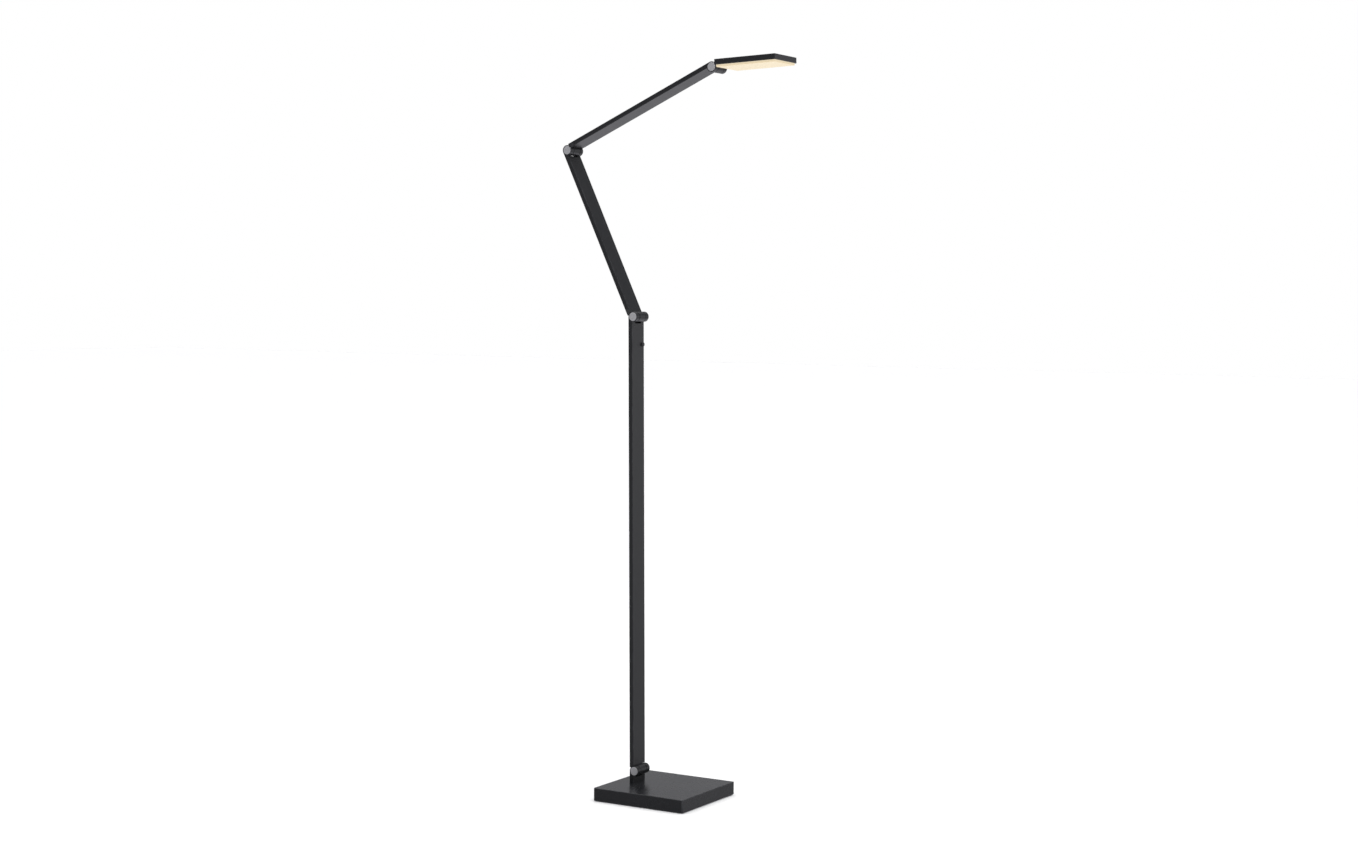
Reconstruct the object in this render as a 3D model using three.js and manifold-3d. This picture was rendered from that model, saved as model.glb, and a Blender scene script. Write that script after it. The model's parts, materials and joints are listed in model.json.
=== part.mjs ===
// Adjustable arm floor lamp: a weighted square base, a column and two arms made of one flat bar
// section, and a slim rectangular LED head, joined by four friction hinges about parallel axes.
// Millimetres, +Z up. +X is the way the head reaches, Y runs along the hinge axes, and the origin
// is the centre of the face that the lamp stands on.
import * as THREE from "three";
import { mergeVertices } from "three/addons/utils/BufferGeometryUtils.js";
import Module from "manifold-3d";

const wasm = await Module();
wasm.setup();

// ---------- driving dimensions ----------
const GAP = 0.3; // between two pieces that touch, and round every running or clearance fit
const CUT = 1; // how far a cutting tool runs past the face that it opens

const PAD = { inset: 5, thick: 1.2, corner: 3 };
const BASE = { length: 230, width: 230, height: 30, wall: 2.5, corner: 2.5, edge: 1 };
const BAR = { width: 50, thick: 10, wall: 1.6, corner: 0.8 };
const HINGE = {
  radius: 11.5, // of the barrel
  pin: 4, // radius of the axle
  headRadius: 6.6, // of the axle's round head
  headThick: 3,
  nutFlats: 11, // across the flats
  nutThick: 3.6,
  knuckle: 11.5, // length of each outer knuckle
  washer: 1, // thickness of a friction washer
  washerRadius: 9.6,
  capRadius: 9.5,
  capThick: 2,
  capEdge: 0.5,
  slot: 3.5, // open below the centre knuckle
  slotBack: 1.8, // wall left standing behind the slot
  slotBackTop: 8, // from the axis down to that wall's top
  heel: 8, // from the axis to where a bar's outer edge starts
  clearance: 0.6, // between an outer knuckle and the hollow cut round it
};
const SHOULDER = 22; // of an end fitting, from the axis to the seam with its tube
const TONGUE = 26; // of an end fitting, inside its tube
const GRUB = { radius: 2, length: 4.4, socket: 1.1, socketDepth: 1.6 };
const POST = { setback: 49.5, height: 27 }; // axis from the base's rear edge, and above its top
const POST_SCREW = { radius: 3, headRadius: 5, headThick: 5, spread: 30, bite: 9, socket: 2.5 };
const LINK = { column: 1021, lowerArm: 414, upperArm: 411 }; // from hinge axis to hinge axis
const REST_DEG = { column: -0.8, lowerArm: -24.8, upperArm: 91, head: 22.4 }; // each from the last
const BUTTON = { radius: 4.5, proud: 3.6, flange: 1, flangeRadius: 5.1, edge: 0.6, drop: 62, inset: 7 };
const SWITCH = { side: 6, board: 1, boardWidth: 16, boardLength: 18, past: 5, stem: 1.6, travel: 1.5 };
const HEAD = { reach: 21, length: 149, width: 100, thick: 12.4, above: 12.2, wall: 1.8, corner: 2, edge: 0.6 };
const NECK = { thick: 8.4, screw: 1.5, screwHead: 2.8, screwHeadThick: 1.8, spread: 14, bite: 6 };
const LED_BOARD = { inset: 6, thick: 1.6 };
const REFLECTOR = { wall: 1.2, height: 4 };
const DIFFUSER = { inset: 2.6, wall: 1.8, proud: 4.8, corner: 3, edge: 2.4, rim: 3 };
const INLET = { radius: 4, length: 12, flange: 1.2, flangeRadius: 5.6, bore: 2.75, boreDepth: 9, pin: 0.9 };

// ---------- finishes ----------
const finish = (color, roughness, metalness, more = {}) =>
  new THREE.MeshStandardMaterial({ color, roughness, metalness, ...more });
const PAINT = () => finish(0x3b3c3f, 0.42, 0.35);
const STEEL = () => finish(0x8c8f93, 0.35, 1);
const SATIN = () => finish(0xb4b5b7, 0.4, 1);
const IRON = () => finish(0x3f4042, 0.75, 0.8);
const RUBBER = () => finish(0x1b1b1c, 0.85, 0);
const PLASTIC = () => finish(0x202124, 0.55, 0);
const NYLON = () => finish(0x2a2b2d, 0.5, 0);
const BOARD = () => finish(0xe9e9e4, 0.5, 0);
const OPAL = () => finish(0xfff0d2, 0.4, 0, { emissive: 0xffe0ae, emissiveIntensity: 0.8 });

// ---------- solids ----------
const solid = (geometry) => {
  geometry.deleteAttribute("normal");
  geometry.deleteAttribute("uv");
  const merged = mergeVertices(geometry, 1e-4);
  return new wasm.Manifold(
    new wasm.Mesh({
      numProp: 3,
      vertProperties: merged.attributes.position.array,
      triVerts: new Uint32Array(merged.index.array),
    }),
  );
};

const join = (first, ...others) => others.reduce((sum, other) => sum.add(other), first);
const cut = (first, ...tools) => tools.reduce((rest, tool) => rest.subtract(tool), first);

const geometryOf = (made) => {
  const { vertProperties, triVerts } = made.getMesh();
  const geometry = new THREE.BufferGeometry();
  geometry.setAttribute("position", new THREE.BufferAttribute(new Float32Array(vertProperties), 3));
  geometry.setIndex(new THREE.BufferAttribute(new Uint32Array(triVerts), 1));
  const flat = geometry.toNonIndexed();
  flat.computeVertexNormals();
  return flat;
};

const box = (x0, x1, y0, y1, z0, z1) =>
  solid(
    new THREE.BoxGeometry(x1 - x0, y1 - y0, z1 - z0).translate(
      (x0 + x1) / 2,
      (y0 + y1) / 2,
      (z0 + z1) / 2,
    ),
  );

// A turned piece: the profile's points are [radius, distance along the axis], from axis to axis.
const turned = (profile, sides) =>
  new THREE.LatheGeometry(profile.map(([r, h]) => new THREE.Vector2(r, h)), sides);
const turnedY = (profile, sides) => solid(turned(profile, sides));
const turnedX = (profile, sides) => solid(turned(profile, sides).rotateZ(-Math.PI / 2));
const turnedZ = (profile, sides) => solid(turned(profile, sides).rotateX(Math.PI / 2));
const rod = (radius, from, to) => [[0, from], [radius, from], [radius, to], [0, to]];

const roundedRectangle = (width, height, corner) => {
  const [w, h] = [width / 2, height / 2];
  const shape = new THREE.Shape();
  shape.absarc(w - corner, h - corner, corner, 0, Math.PI / 2);
  shape.absarc(corner - w, h - corner, corner, Math.PI / 2, Math.PI);
  shape.absarc(corner - w, corner - h, corner, Math.PI, 1.5 * Math.PI);
  shape.absarc(w - corner, corner - h, corner, 1.5 * Math.PI, 2 * Math.PI);
  return shape;
};

// A flat plate with rounded corners, and edges eased by `edge` on both faces.
const plate = (length, width, corner, z0, z1, edge = 0) =>
  solid(
    new THREE.ExtrudeGeometry(roundedRectangle(length, width, corner), {
      depth: z1 - z0 - 2 * edge,
      curveSegments: 4,
      bevelEnabled: edge > 0,
      bevelSize: edge,
      bevelThickness: edge,
      bevelOffset: -edge,
      bevelSegments: 2,
    }).translate(0, 0, z0 + edge),
  );

// A profile drawn in X and Z, carried along Y.
const alongY = (shape, y0, y1) =>
  solid(
    new THREE.ExtrudeGeometry(shape, { depth: y1 - y0, bevelEnabled: false, curveSegments: 18 })
      .rotateX(Math.PI / 2)
      .translate(0, y1, 0),
  );

// ---------- the hinge that all four joints share ----------
// In a link's own frame the hinge axis is Y, the link runs along +Z, and its bar lies on the -X
// side of the axis, its outer face touching the barrel's back.
const BAR_OUT = -HINGE.radius;
const BAR_IN = BAR_OUT + BAR.thick;
const BAR_MID = (BAR_OUT + BAR_IN) / 2;
const HALF = BAR.width / 2;
const SLOT_HALF = HALF - HINGE.knuckle; // half the space between the outer knuckles
const CENTRE_HALF = SLOT_HALF - HINGE.washer - 2 * GAP; // half the centre knuckle's length
const RECESS = HINGE.capThick + GAP; // depth of the seat for an end cap
const PIN_SEAT = HALF - RECESS - Math.max(HINGE.headThick, HINGE.nutThick) - GAP;
const BARREL_SIDES = 44;

// Web and knuckle in one outline, with the web on the +Z side.
const knuckleOutline = (reach) => {
  const shape = new THREE.Shape();
  const meet = Math.atan2(Math.sqrt(HINGE.radius ** 2 - BAR_IN ** 2), BAR_IN);
  shape.moveTo(BAR_OUT, 0);
  shape.absarc(0, 0, HINGE.radius, Math.PI, 2 * Math.PI + meet);
  shape.lineTo(BAR_IN, reach);
  shape.lineTo(BAR_OUT, reach);
  shape.closePath();
  return shape;
};

// The bar's outer thirds end in a hollow that clears the outer knuckles of the link below.
const heelOutline = (reach) => {
  const r = HINGE.radius + HINGE.clearance;
  const shape = new THREE.Shape();
  shape.moveTo(BAR_OUT, HINGE.heel);
  shape.lineTo(-Math.sqrt(r ** 2 - HINGE.heel ** 2), HINGE.heel);
  shape.absarc(0, 0, r, Math.PI - Math.asin(HINGE.heel / r), Math.acos(BAR_IN / r), true);
  shape.lineTo(BAR_IN, reach);
  shape.lineTo(BAR_OUT, reach);
  shape.closePath();
  return shape;
};

const tongue = (z0, z1) =>
  box(
    BAR_OUT + BAR.wall + GAP,
    BAR_IN - BAR.wall - GAP,
    -HALF + BAR.wall + GAP,
    HALF - BAR.wall - GAP,
    z0,
    z1,
  );

const pinBore = () => turnedY(rod(HINGE.pin + GAP, -HALF - CUT, HALF + CUT), 20);

// Lower end of a link: one centre knuckle, turning on the axle.
const centreKnuckle = (reach) => cut(alongY(knuckleOutline(reach), -CENTRE_HALF, CENTRE_HALF), pinBore());

// Upper end of a link or of the post: two outer knuckles that hold the axle, with seats for the
// axle's head, its nut and the end caps, and a slot between them with a thin wall behind it. The
// web hangs on the -Z side.
const outerKnuckles = (reach) => {
  const sides = alongY(knuckleOutline(reach), -HALF, HALF).mirror([0, 0, 1]);
  const clear = HINGE.radius + HINGE.slot;
  const back = BAR_OUT + HINGE.slotBack;
  const top = HINGE.radius + CUT;
  const room = join(
    box(back, top, -SLOT_HALF, SLOT_HALF, -clear, top),
    box(BAR_OUT - CUT, top, -SLOT_HALF, SLOT_HALF, -HINGE.slotBackTop, top),
  );
  const seat = (side) =>
    join(
      turnedY(rod(HINGE.capRadius + GAP, HALF - RECESS, HALF + CUT), BARREL_SIDES),
      turnedY(rod(HINGE.headRadius + 2 * GAP, PIN_SEAT, HALF - RECESS + CUT), 24),
    ).scale([1, side, 1]);
  return cut(sides, room, pinBore(), seat(1), seat(-1));
};

const grubHole = (z) =>
  turnedX(rod(GRUB.radius + GAP, BAR_OUT - CUT, BAR_OUT + GRUB.length + GAP), 16).translate([0, 0, z]);
const GRUB_AT = SHOULDER + TONGUE / 2;

const lowerFitting = () =>
  cut(
    join(
      centreKnuckle(SHOULDER),
      alongY(heelOutline(SHOULDER), -HALF, HALF),
      tongue(SHOULDER - CUT, SHOULDER + TONGUE),
    ),
    grubHole(GRUB_AT),
  );

const upperFitting = () =>
  cut(
    join(outerKnuckles(SHOULDER), tongue(-SHOULDER - TONGUE, CUT - SHOULDER)),
    grubHole(-GRUB_AT),
  );

const tube = (length) => {
  const shape = roundedRectangle(BAR.thick, BAR.width, BAR.corner);
  shape.holes.push(
    roundedRectangle(BAR.thick - 2 * BAR.wall, BAR.width - 2 * BAR.wall, BAR.corner / 2),
  );
  const from = SHOULDER + GAP;
  const made = solid(
    new THREE.ExtrudeGeometry(shape, {
      depth: length - 2 * from,
      bevelEnabled: false,
      curveSegments: 3,
    }).translate(BAR_MID, 0, from),
  );
  return cut(made, grubHole(GRUB_AT), grubHole(length - GRUB_AT));
};

const grubScrew = () => {
  const start = BAR_OUT + GAP / 2;
  const hex = turnedX(rod(GRUB.socket, start - CUT, start + GRUB.socketDepth), 6);
  return cut(turnedX(rod(GRUB.radius, start, start + GRUB.length - GAP), 16), hex);
};

const axle = () =>
  turnedY(
    [
      [0, -PIN_SEAT - GAP - HINGE.headThick],
      [HINGE.headRadius, -PIN_SEAT - GAP - HINGE.headThick],
      [HINGE.headRadius, -PIN_SEAT - GAP],
      [HINGE.pin, -PIN_SEAT - GAP],
      [HINGE.pin, PIN_SEAT + HINGE.nutThick],
      [0, PIN_SEAT + HINGE.nutThick],
    ],
    24,
  );

const axleNut = () => {
  const corner = HINGE.nutFlats / Math.sqrt(3);
  const from = PIN_SEAT + GAP;
  return cut(
    turnedY(rod(corner, from, from + HINGE.nutThick), 6),
    turnedY(rod(HINGE.pin + GAP, from - CUT, from + HINGE.nutThick + CUT), 24),
  );
};

const frictionWasher = () =>
  cut(
    turnedY(rod(HINGE.washerRadius, CENTRE_HALF + GAP, CENTRE_HALF + GAP + HINGE.washer), 28),
    turnedY(rod(HINGE.pin + GAP, CENTRE_HALF, SLOT_HALF), 20),
  );

const endCap = () => {
  const [r, e] = [HINGE.capRadius, HINGE.capEdge];
  const outer = HALF;
  const inner = HALF - HINGE.capThick;
  return turnedY([[0, inner], [r, inner], [r, outer - e], [r - e, outer], [0, outer]], BARREL_SIDES);
};

// ---------- placing ----------
const mesh = (name, made, material) => {
  const placed = new THREE.Mesh(geometryOf(made), material);
  placed.name = name;
  return placed;
};

const frame = (parent, x, z, degrees) => {
  const group = new THREE.Group();
  group.position.set(x, 0, z);
  group.rotation.y = THREE.MathUtils.degToRad(degrees);
  parent.add(group);
  return group;
};

// The loose pieces of one hinge, held by the link that carries the outer knuckles.
const addHingeSet = (parent, name, z) => {
  const at = frame(parent, 0, z, 0);
  at.add(mesh(`${name}_axle`, axle(), STEEL()));
  at.add(mesh(`${name}_nut`, axleNut(), STEEL()));
  at.add(mesh(`${name}_friction_washer_left`, frictionWasher().mirror([0, 1, 0]), NYLON()));
  at.add(mesh(`${name}_friction_washer_right`, frictionWasher(), NYLON()));
  at.add(mesh(`${name}_end_cap_left`, endCap().mirror([0, 1, 0]), SATIN()));
  at.add(mesh(`${name}_end_cap_right`, endCap(), SATIN()));
};

// A link: its tube, the two end fittings and the grub screws that hold them.
const addLink = (parent, name, length, bar) => {
  parent.add(mesh(`${name}_tube`, bar, PAINT()));
  parent.add(mesh(`${name}_lower_fitting`, lowerFitting(), PAINT()));
  parent.add(mesh(`${name}_upper_fitting`, upperFitting().translate([0, 0, length]), PAINT()));
  parent.add(mesh(`${name}_lower_grub_screw`, grubScrew().translate([0, 0, GRUB_AT]), STEEL()));
  parent.add(
    mesh(`${name}_upper_grub_screw`, grubScrew().translate([0, 0, length - GRUB_AT]), STEEL()),
  );
};

const lamp = new THREE.Group();

// ---------- base ----------
const PIVOT_X = POST.setback - BASE.length / 2;
const PIVOT_Z = BASE.height + POST.height;
const REAR = -BASE.length / 2;
const SKIRT_FOOT = PAD.thick + GAP; // lowest point of cover and weight
const CEILING = BASE.height - BASE.wall; // underside of the cover's top
const POST_X = PIVOT_X + BAR_MID;
const INLET_Z = (SKIRT_FOOT + CEILING) / 2;
const INLET_END = REAR + INLET.length; // inner end of the socket

const postScrewHoles = (radius, z0, z1) =>
  [-1, 1].map((side) =>
    turnedZ(rod(radius, z0, z1), 24).translate([POST_X, (side * POST_SCREW.spread) / 2, 0]),
  );

const basePad = () =>
  plate(BASE.length - 2 * PAD.inset, BASE.width - 2 * PAD.inset, PAD.corner, 0, PAD.thick);

const baseCover = () => {
  const { length, width, wall } = BASE;
  const hollow = box(
    REAR + wall,
    -REAR - wall,
    wall - width / 2,
    width / 2 - wall,
    SKIRT_FOOT - CUT,
    CEILING,
  );
  return cut(
    plate(length, width, BASE.corner, SKIRT_FOOT, BASE.height, BASE.edge),
    hollow,
    turnedX(rod(INLET.radius + GAP, REAR - CUT, REAR + wall + CUT), 24).translate([0, 0, INLET_Z]),
    ...postScrewHoles(POST_SCREW.radius + GAP, CEILING - CUT, BASE.height + CUT),
  );
};

const baseWeight = () => {
  const side = BASE.wall + GAP;
  const slab = box(
    REAR + side,
    -REAR - side,
    side - BASE.width / 2,
    BASE.width / 2 - side,
    SKIRT_FOOT,
    CEILING - GAP,
  );
  const room = INLET.flangeRadius + 2;
  return cut(
    slab,
    box(REAR - CUT, INLET_END + 2, -room, room, SKIRT_FOOT - CUT, CEILING + CUT),
    ...postScrewHoles(POST_SCREW.radius + GAP, 0, BASE.height),
    ...postScrewHoles(POST_SCREW.headRadius + GAP, 0, SKIRT_FOOT + POST_SCREW.headThick + 2 * GAP),
  );
};

const basePost = () => {
  const post = outerKnuckles(POST.height - GAP).translate([PIVOT_X, 0, PIVOT_Z]);
  const depth = BASE.height + GAP + POST_SCREW.bite + GAP;
  return cut(post, ...postScrewHoles(POST_SCREW.radius + GAP, BASE.height - CUT, depth));
};

const postScrew = (side) => {
  const { radius, headRadius, headThick, bite, socket, spread } = POST_SCREW;
  const [foot, shoulder] = [SKIRT_FOOT + GAP, SKIRT_FOOT + GAP + headThick];
  const top = BASE.height + GAP + bite;
  const head = [[0, foot], [headRadius, foot], [headRadius, shoulder], [radius, shoulder]];
  const body = turnedZ([...head, [radius, top], [0, top]], 24);
  const hex = turnedZ(rod(socket, foot - CUT, foot + headThick / 2), 6);
  return cut(body, hex).translate([POST_X, (side * spread) / 2, 0]);
};

// A round low-voltage socket, open to the rear, with its contact pin standing in the bore.
const powerInlet = () => {
  const { radius, flangeRadius, flange, bore, boreDepth, pin } = INLET;
  const seat = REAR + BASE.wall + GAP;
  const outside = [
    [0, REAR],
    [radius, REAR],
    [radius, seat],
    [flangeRadius, seat],
    [flangeRadius, seat + flange],
    [radius, seat + flange],
    [radius, INLET_END],
    [0, INLET_END],
  ];
  return join(
    cut(turnedX(outside, 24), turnedX(rod(bore, REAR - CUT, REAR + boreDepth), 20)),
    turnedX(rod(pin, REAR + CUT, REAR + boreDepth + CUT), 12),
  ).translate([0, 0, INLET_Z]);
};

lamp.add(mesh("base_pad", basePad(), RUBBER()));
lamp.add(mesh("base_cover", baseCover(), PAINT()));
lamp.add(mesh("base_weight", baseWeight(), IRON()));
lamp.add(mesh("base_post", basePost(), PAINT()));
lamp.add(mesh("post_screw_left", postScrew(-1), STEEL()));
lamp.add(mesh("post_screw_right", postScrew(1), STEEL()));
lamp.add(mesh("power_inlet", powerInlet(), PLASTIC()));

const postTop = frame(lamp, PIVOT_X, PIVOT_Z, 0);
addHingeSet(postTop, "base_hinge", 0);

// ---------- column, with the dimmer button near its top ----------
const column = frame(postTop, 0, 0, REST_DEG.column);
const BUTTON_Z = LINK.column - BUTTON.drop;
const BUTTON_Y = HALF - BUTTON.inset; // the button stands near the bar's left edge
const FRONT_WALL = BAR_IN - BAR.wall; // inside face of the bar's front wall

const columnTube = () =>
  cut(
    tube(LINK.column),
    turnedX(rod(BUTTON.radius + GAP, FRONT_WALL - CUT, BAR_IN + CUT), 32).translate([0, BUTTON_Y, BUTTON_Z]),
  );

const dimmerButton = () => {
  const { radius, proud, flange, flangeRadius, edge } = BUTTON;
  const [seat, tip] = [FRONT_WALL - GAP, BAR_IN + proud];
  const profile = [
    [0, seat - flange],
    [flangeRadius, seat - flange],
    [flangeRadius, seat],
    [radius, seat],
    [radius, tip - edge],
    [radius - edge, tip],
    [0, tip],
  ];
  return turnedX(profile, 32).translate([0, BUTTON_Y, BUTTON_Z]);
};

// The switch stands on a narrow board against the tube's back wall, its stem under the button.
const BOARD_BACK = BAR_OUT + BAR.wall + GAP;
const switchBoard = () => {
  const half = SWITCH.boardLength / 2;
  const side = BUTTON_Y + SWITCH.past; // the board's edge, past the button's middle
  const back = BOARD_BACK;
  return box(back, back + SWITCH.board, side - SWITCH.boardWidth, side, BUTTON_Z - half, BUTTON_Z + half);
};

const dimmerSwitch = () => {
  const half = SWITCH.side / 2;
  const foot = BOARD_BACK + SWITCH.board + GAP;
  const stemTop = FRONT_WALL - GAP - BUTTON.flange - SWITCH.travel - GAP;
  const shoulder = stemTop - 0.7;
  const body = box(foot, shoulder, -half, half, -half, half);
  const stem = turnedX(rod(SWITCH.stem, shoulder - CUT / 2, stemTop), 16);
  return join(body, stem).translate([0, BUTTON_Y, BUTTON_Z]);
};

addLink(column, "column", LINK.column, columnTube());
column.add(mesh("dimmer_button", dimmerButton(), PAINT()));
column.add(mesh("dimmer_switch", dimmerSwitch(), PLASTIC()));
column.add(mesh("dimmer_switch_board", switchBoard(), BOARD()));
addHingeSet(column, "column_hinge", LINK.column);

// ---------- the two arms ----------
const lowerArm = frame(column, 0, LINK.column, REST_DEG.lowerArm);
addLink(lowerArm, "lower_arm", LINK.lowerArm, tube(LINK.lowerArm));
addHingeSet(lowerArm, "elbow_hinge", LINK.lowerArm);

const upperArm = frame(lowerArm, 0, LINK.lowerArm, REST_DEG.upperArm);
addLink(upperArm, "upper_arm", LINK.upperArm, tube(LINK.upperArm));
addHingeSet(upperArm, "head_hinge", LINK.upperArm);

// ---------- head: its own frame has +X forward and +Z up ----------
const head = frame(upperArm, 0, LINK.upperArm, REST_DEG.head - 90);
const HEAD_MID = HEAD.reach + HEAD.length / 2;
const HEAD_TOP = HEAD.above;
const HEAD_FOOT = HEAD.above - HEAD.thick;
const HEAD_CEILING = HEAD_TOP - HEAD.wall;
const NECK_Z = HEAD_CEILING - NECK.thick / 2; // middle of the neck's height

const neckScrewHoles = (radius, x0, x1) =>
  [-1, 1].map((side) =>
    turnedX(rod(radius, x0, x1), 16).translate([0, (side * NECK.spread) / 2, NECK_Z]),
  );

// The bracket's knuckle is the links' own, with a neck that reaches the head's rear wall.
const headBracket = () => {
  const knuckle = centreKnuckle(HINGE.radius).rotate([0, 90, 0]);
  const low = Math.max(NECK_Z - NECK.thick / 2, -BAR_IN);
  const neck = box(0, HEAD.reach - GAP, -CENTRE_HALF, CENTRE_HALF, low, HEAD_CEILING);
  const from = HEAD.reach - NECK.bite - GAP;
  return cut(join(knuckle, neck), pinBore(), ...neckScrewHoles(NECK.screw + GAP, from, HEAD.reach));
};

const headHousing = () => {
  const { reach, length, width, wall, corner, edge } = HEAD;
  const shell = plate(length, width, corner, HEAD_FOOT, HEAD_TOP, edge).translate([HEAD_MID, 0, 0]);
  const hollow = box(
    reach + wall,
    reach + length - wall,
    wall - width / 2,
    width / 2 - wall,
    HEAD_FOOT - CUT,
    HEAD_CEILING,
  );
  return cut(shell, hollow, ...neckScrewHoles(NECK.screw + GAP, reach - CUT, reach + wall + CUT));
};

const neckScrew = (side) => {
  const shoulder = HEAD.reach + HEAD.wall + GAP;
  const profile = [
    [0, HEAD.reach - NECK.bite],
    [NECK.screw, HEAD.reach - NECK.bite],
    [NECK.screw, shoulder],
    [NECK.screwHead, shoulder],
    [NECK.screwHead, shoulder + NECK.screwHeadThick],
    [0, shoulder + NECK.screwHeadThick],
  ];
  return turnedX(profile, 16).translate([0, (side * NECK.spread) / 2, NECK_Z]);
};

const BOARD_TOP = HEAD_CEILING - GAP;
const BOARD_FOOT = BOARD_TOP - LED_BOARD.thick;
const ledBoard = () => {
  const grow = 2 * (HEAD.wall + LED_BOARD.inset);
  return plate(HEAD.length - grow, HEAD.width - grow, 1, BOARD_FOOT, BOARD_TOP).translate([HEAD_MID, 0, 0]);
};

const reflector = () => {
  const [l, w] = [HEAD.length, HEAD.width].map((v) => v - 2 * (HEAD.wall + LED_BOARD.inset));
  const top = BOARD_FOOT - GAP;
  const ring = (shrink, z0, z1) => plate(l - 2 * shrink, w - 2 * shrink, 1, z0, z1);
  return cut(
    ring(0, top - REFLECTOR.height, top),
    ring(REFLECTOR.wall, top - REFLECTOR.height - CUT, top + CUT),
  ).translate([HEAD_MID, 0, 0]);
};

// An opal tray, open towards the LEDs, that stands proud of the housing's lower edge.
const diffuser = () => {
  const [l, w] = [HEAD.length, HEAD.width].map((v) => v - 2 * DIFFUSER.inset);
  const [foot, top] = [HEAD_FOOT - DIFFUSER.proud, HEAD_FOOT + DIFFUSER.rim];
  const lens = plate(l, w, DIFFUSER.corner, foot, top + DIFFUSER.edge, DIFFUSER.edge);
  const [inside, across] = [l, w].map((v) => v / 2 - DIFFUSER.wall);
  const hollow = box(-inside, inside, -across, across, foot + DIFFUSER.edge, top + DIFFUSER.edge + CUT);
  const trim = box(-l, l, -w, w, top, top + 2 * DIFFUSER.edge);
  return cut(lens, hollow, trim).translate([HEAD_MID, 0, 0]);
};

head.add(mesh("head_bracket", headBracket(), PAINT()));
head.add(mesh("head_housing", headHousing(), PAINT()));
head.add(mesh("neck_screw_left", neckScrew(-1), STEEL()));
head.add(mesh("neck_screw_right", neckScrew(1), STEEL()));
head.add(mesh("led_board", ledBoard(), BOARD()));
head.add(mesh("reflector_frame", reflector(), BOARD()));
head.add(mesh("diffuser", diffuser(), OPAL()));

export default lamp;
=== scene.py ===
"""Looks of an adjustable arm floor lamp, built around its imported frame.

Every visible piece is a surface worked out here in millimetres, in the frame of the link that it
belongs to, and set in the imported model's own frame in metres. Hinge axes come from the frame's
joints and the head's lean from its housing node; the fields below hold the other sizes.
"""

import json
import logging
import math
from collections.abc import Callable, Iterable, Sequence
from dataclasses import dataclass, field, replace
from enum import Enum
from functools import partial

import bpy
import numpy as np
from mathutils import Matrix, Vector


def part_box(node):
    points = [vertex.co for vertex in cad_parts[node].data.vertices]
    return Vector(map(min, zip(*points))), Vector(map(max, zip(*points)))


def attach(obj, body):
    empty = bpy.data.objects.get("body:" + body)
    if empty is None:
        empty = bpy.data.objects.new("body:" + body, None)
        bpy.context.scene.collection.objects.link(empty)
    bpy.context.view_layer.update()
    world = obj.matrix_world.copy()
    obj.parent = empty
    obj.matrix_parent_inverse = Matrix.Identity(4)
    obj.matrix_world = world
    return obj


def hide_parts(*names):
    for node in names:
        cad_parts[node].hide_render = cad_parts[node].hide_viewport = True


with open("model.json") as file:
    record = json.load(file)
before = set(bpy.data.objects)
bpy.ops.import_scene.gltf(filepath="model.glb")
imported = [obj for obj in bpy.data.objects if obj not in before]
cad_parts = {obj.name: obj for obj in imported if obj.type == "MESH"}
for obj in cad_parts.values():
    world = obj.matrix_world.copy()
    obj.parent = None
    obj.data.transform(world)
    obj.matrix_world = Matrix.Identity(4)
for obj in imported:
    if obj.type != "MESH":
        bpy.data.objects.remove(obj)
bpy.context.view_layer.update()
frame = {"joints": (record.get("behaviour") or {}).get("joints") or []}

Source = bpy.types.NodeSocket | bpy.types.Node  # what a link comes from
LOG = logging.getLogger("floor_lamp")
MM = 0.001  # metres in a millimetre
SUPPORT = 0.8  # from an eased edge to the line where its wear and painted sheen have faded, in mm
SIDES = 96  # round a barrel or an end cap
HOLE_SIDES = 32  # round a hole through a wall
SOFT_SHARE = 0.8  # of a corner's radius, up to which an inset follows the outline's normals
SAME = 1e-6  # two lengths nearer than this are the same, in mm
CELL_MARGIN = 1.0  # from a hole's rim to the sides of the cell that it fills, in mm
SHARP_DEGREES = 38  # faces that meet at more than this are shaded as an edge
NOISE_SPAN = (0.3, 0.7)  # between which most of a noise's values lie

# ------------------------------------------------------------------------------------------
# surfaces
# ------------------------------------------------------------------------------------------


class Slot(Enum):
    """The record's material slots."""

    BASE_PAINT = "base_paint"
    LINK_PAINT = "link_paint"
    END_CAP = "end_cap"
    STEEL = "steel"
    WEIGHT = "weight"
    PAD = "pad"
    WASHER = "washer"
    BLACK_PLASTIC = "black_plastic"
    SWITCH_BOARD = "switch_board"
    LED_BOARD = "led_board"
    REFLECTOR = "reflector"
    DIFFUSER = "diffuser"


@dataclass(frozen=True)
class Skin:
    """A closed surface in millimetres.

    Attributes:
        points: One row for each point, as X, Y and Z.
        faces: Each face's point numbers, in order round the face.
        edge: How near each point is to an eased edge, where wear and a painted sheen show, from 0
            to 1.
        turning: Each point's distance from the axis that it was turned about, in mm.
    """

    points: np.ndarray
    faces: list[tuple[int, ...]]
    edge: np.ndarray
    turning: np.ndarray

    def facing_out(self) -> "Skin":
        """Turns every face round if the surface encloses a negative volume.

        The volume is the sum over fans of triangles of a third of the base times the height,
        which is a sixth of the triple product of each triangle's corners.
        """
        fans = [(f[0], f[i], f[i + 1]) for f in self.faces for i in range(1, len(f) - 1)]
        a, b, c = (self.points[np.array(fans)[:, i]] for i in range(3))
        if np.einsum("ij,ij->i", a, np.cross(b, c)).sum() >= 0:
            return self
        return replace(self, faces=[tuple(reversed(f)) for f in self.faces])

    def moved(self, x: float = 0, y: float = 0, z: float = 0) -> "Skin":
        """The same surface, shifted."""
        return replace(self, points=self.points + np.array([x, y, z]))

    def mapped(self, rule: Callable[[np.ndarray], np.ndarray]) -> "Skin":
        """The surface with a rule applied to its points, facing out again."""
        return replace(self, points=rule(self.points)).facing_out()


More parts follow.
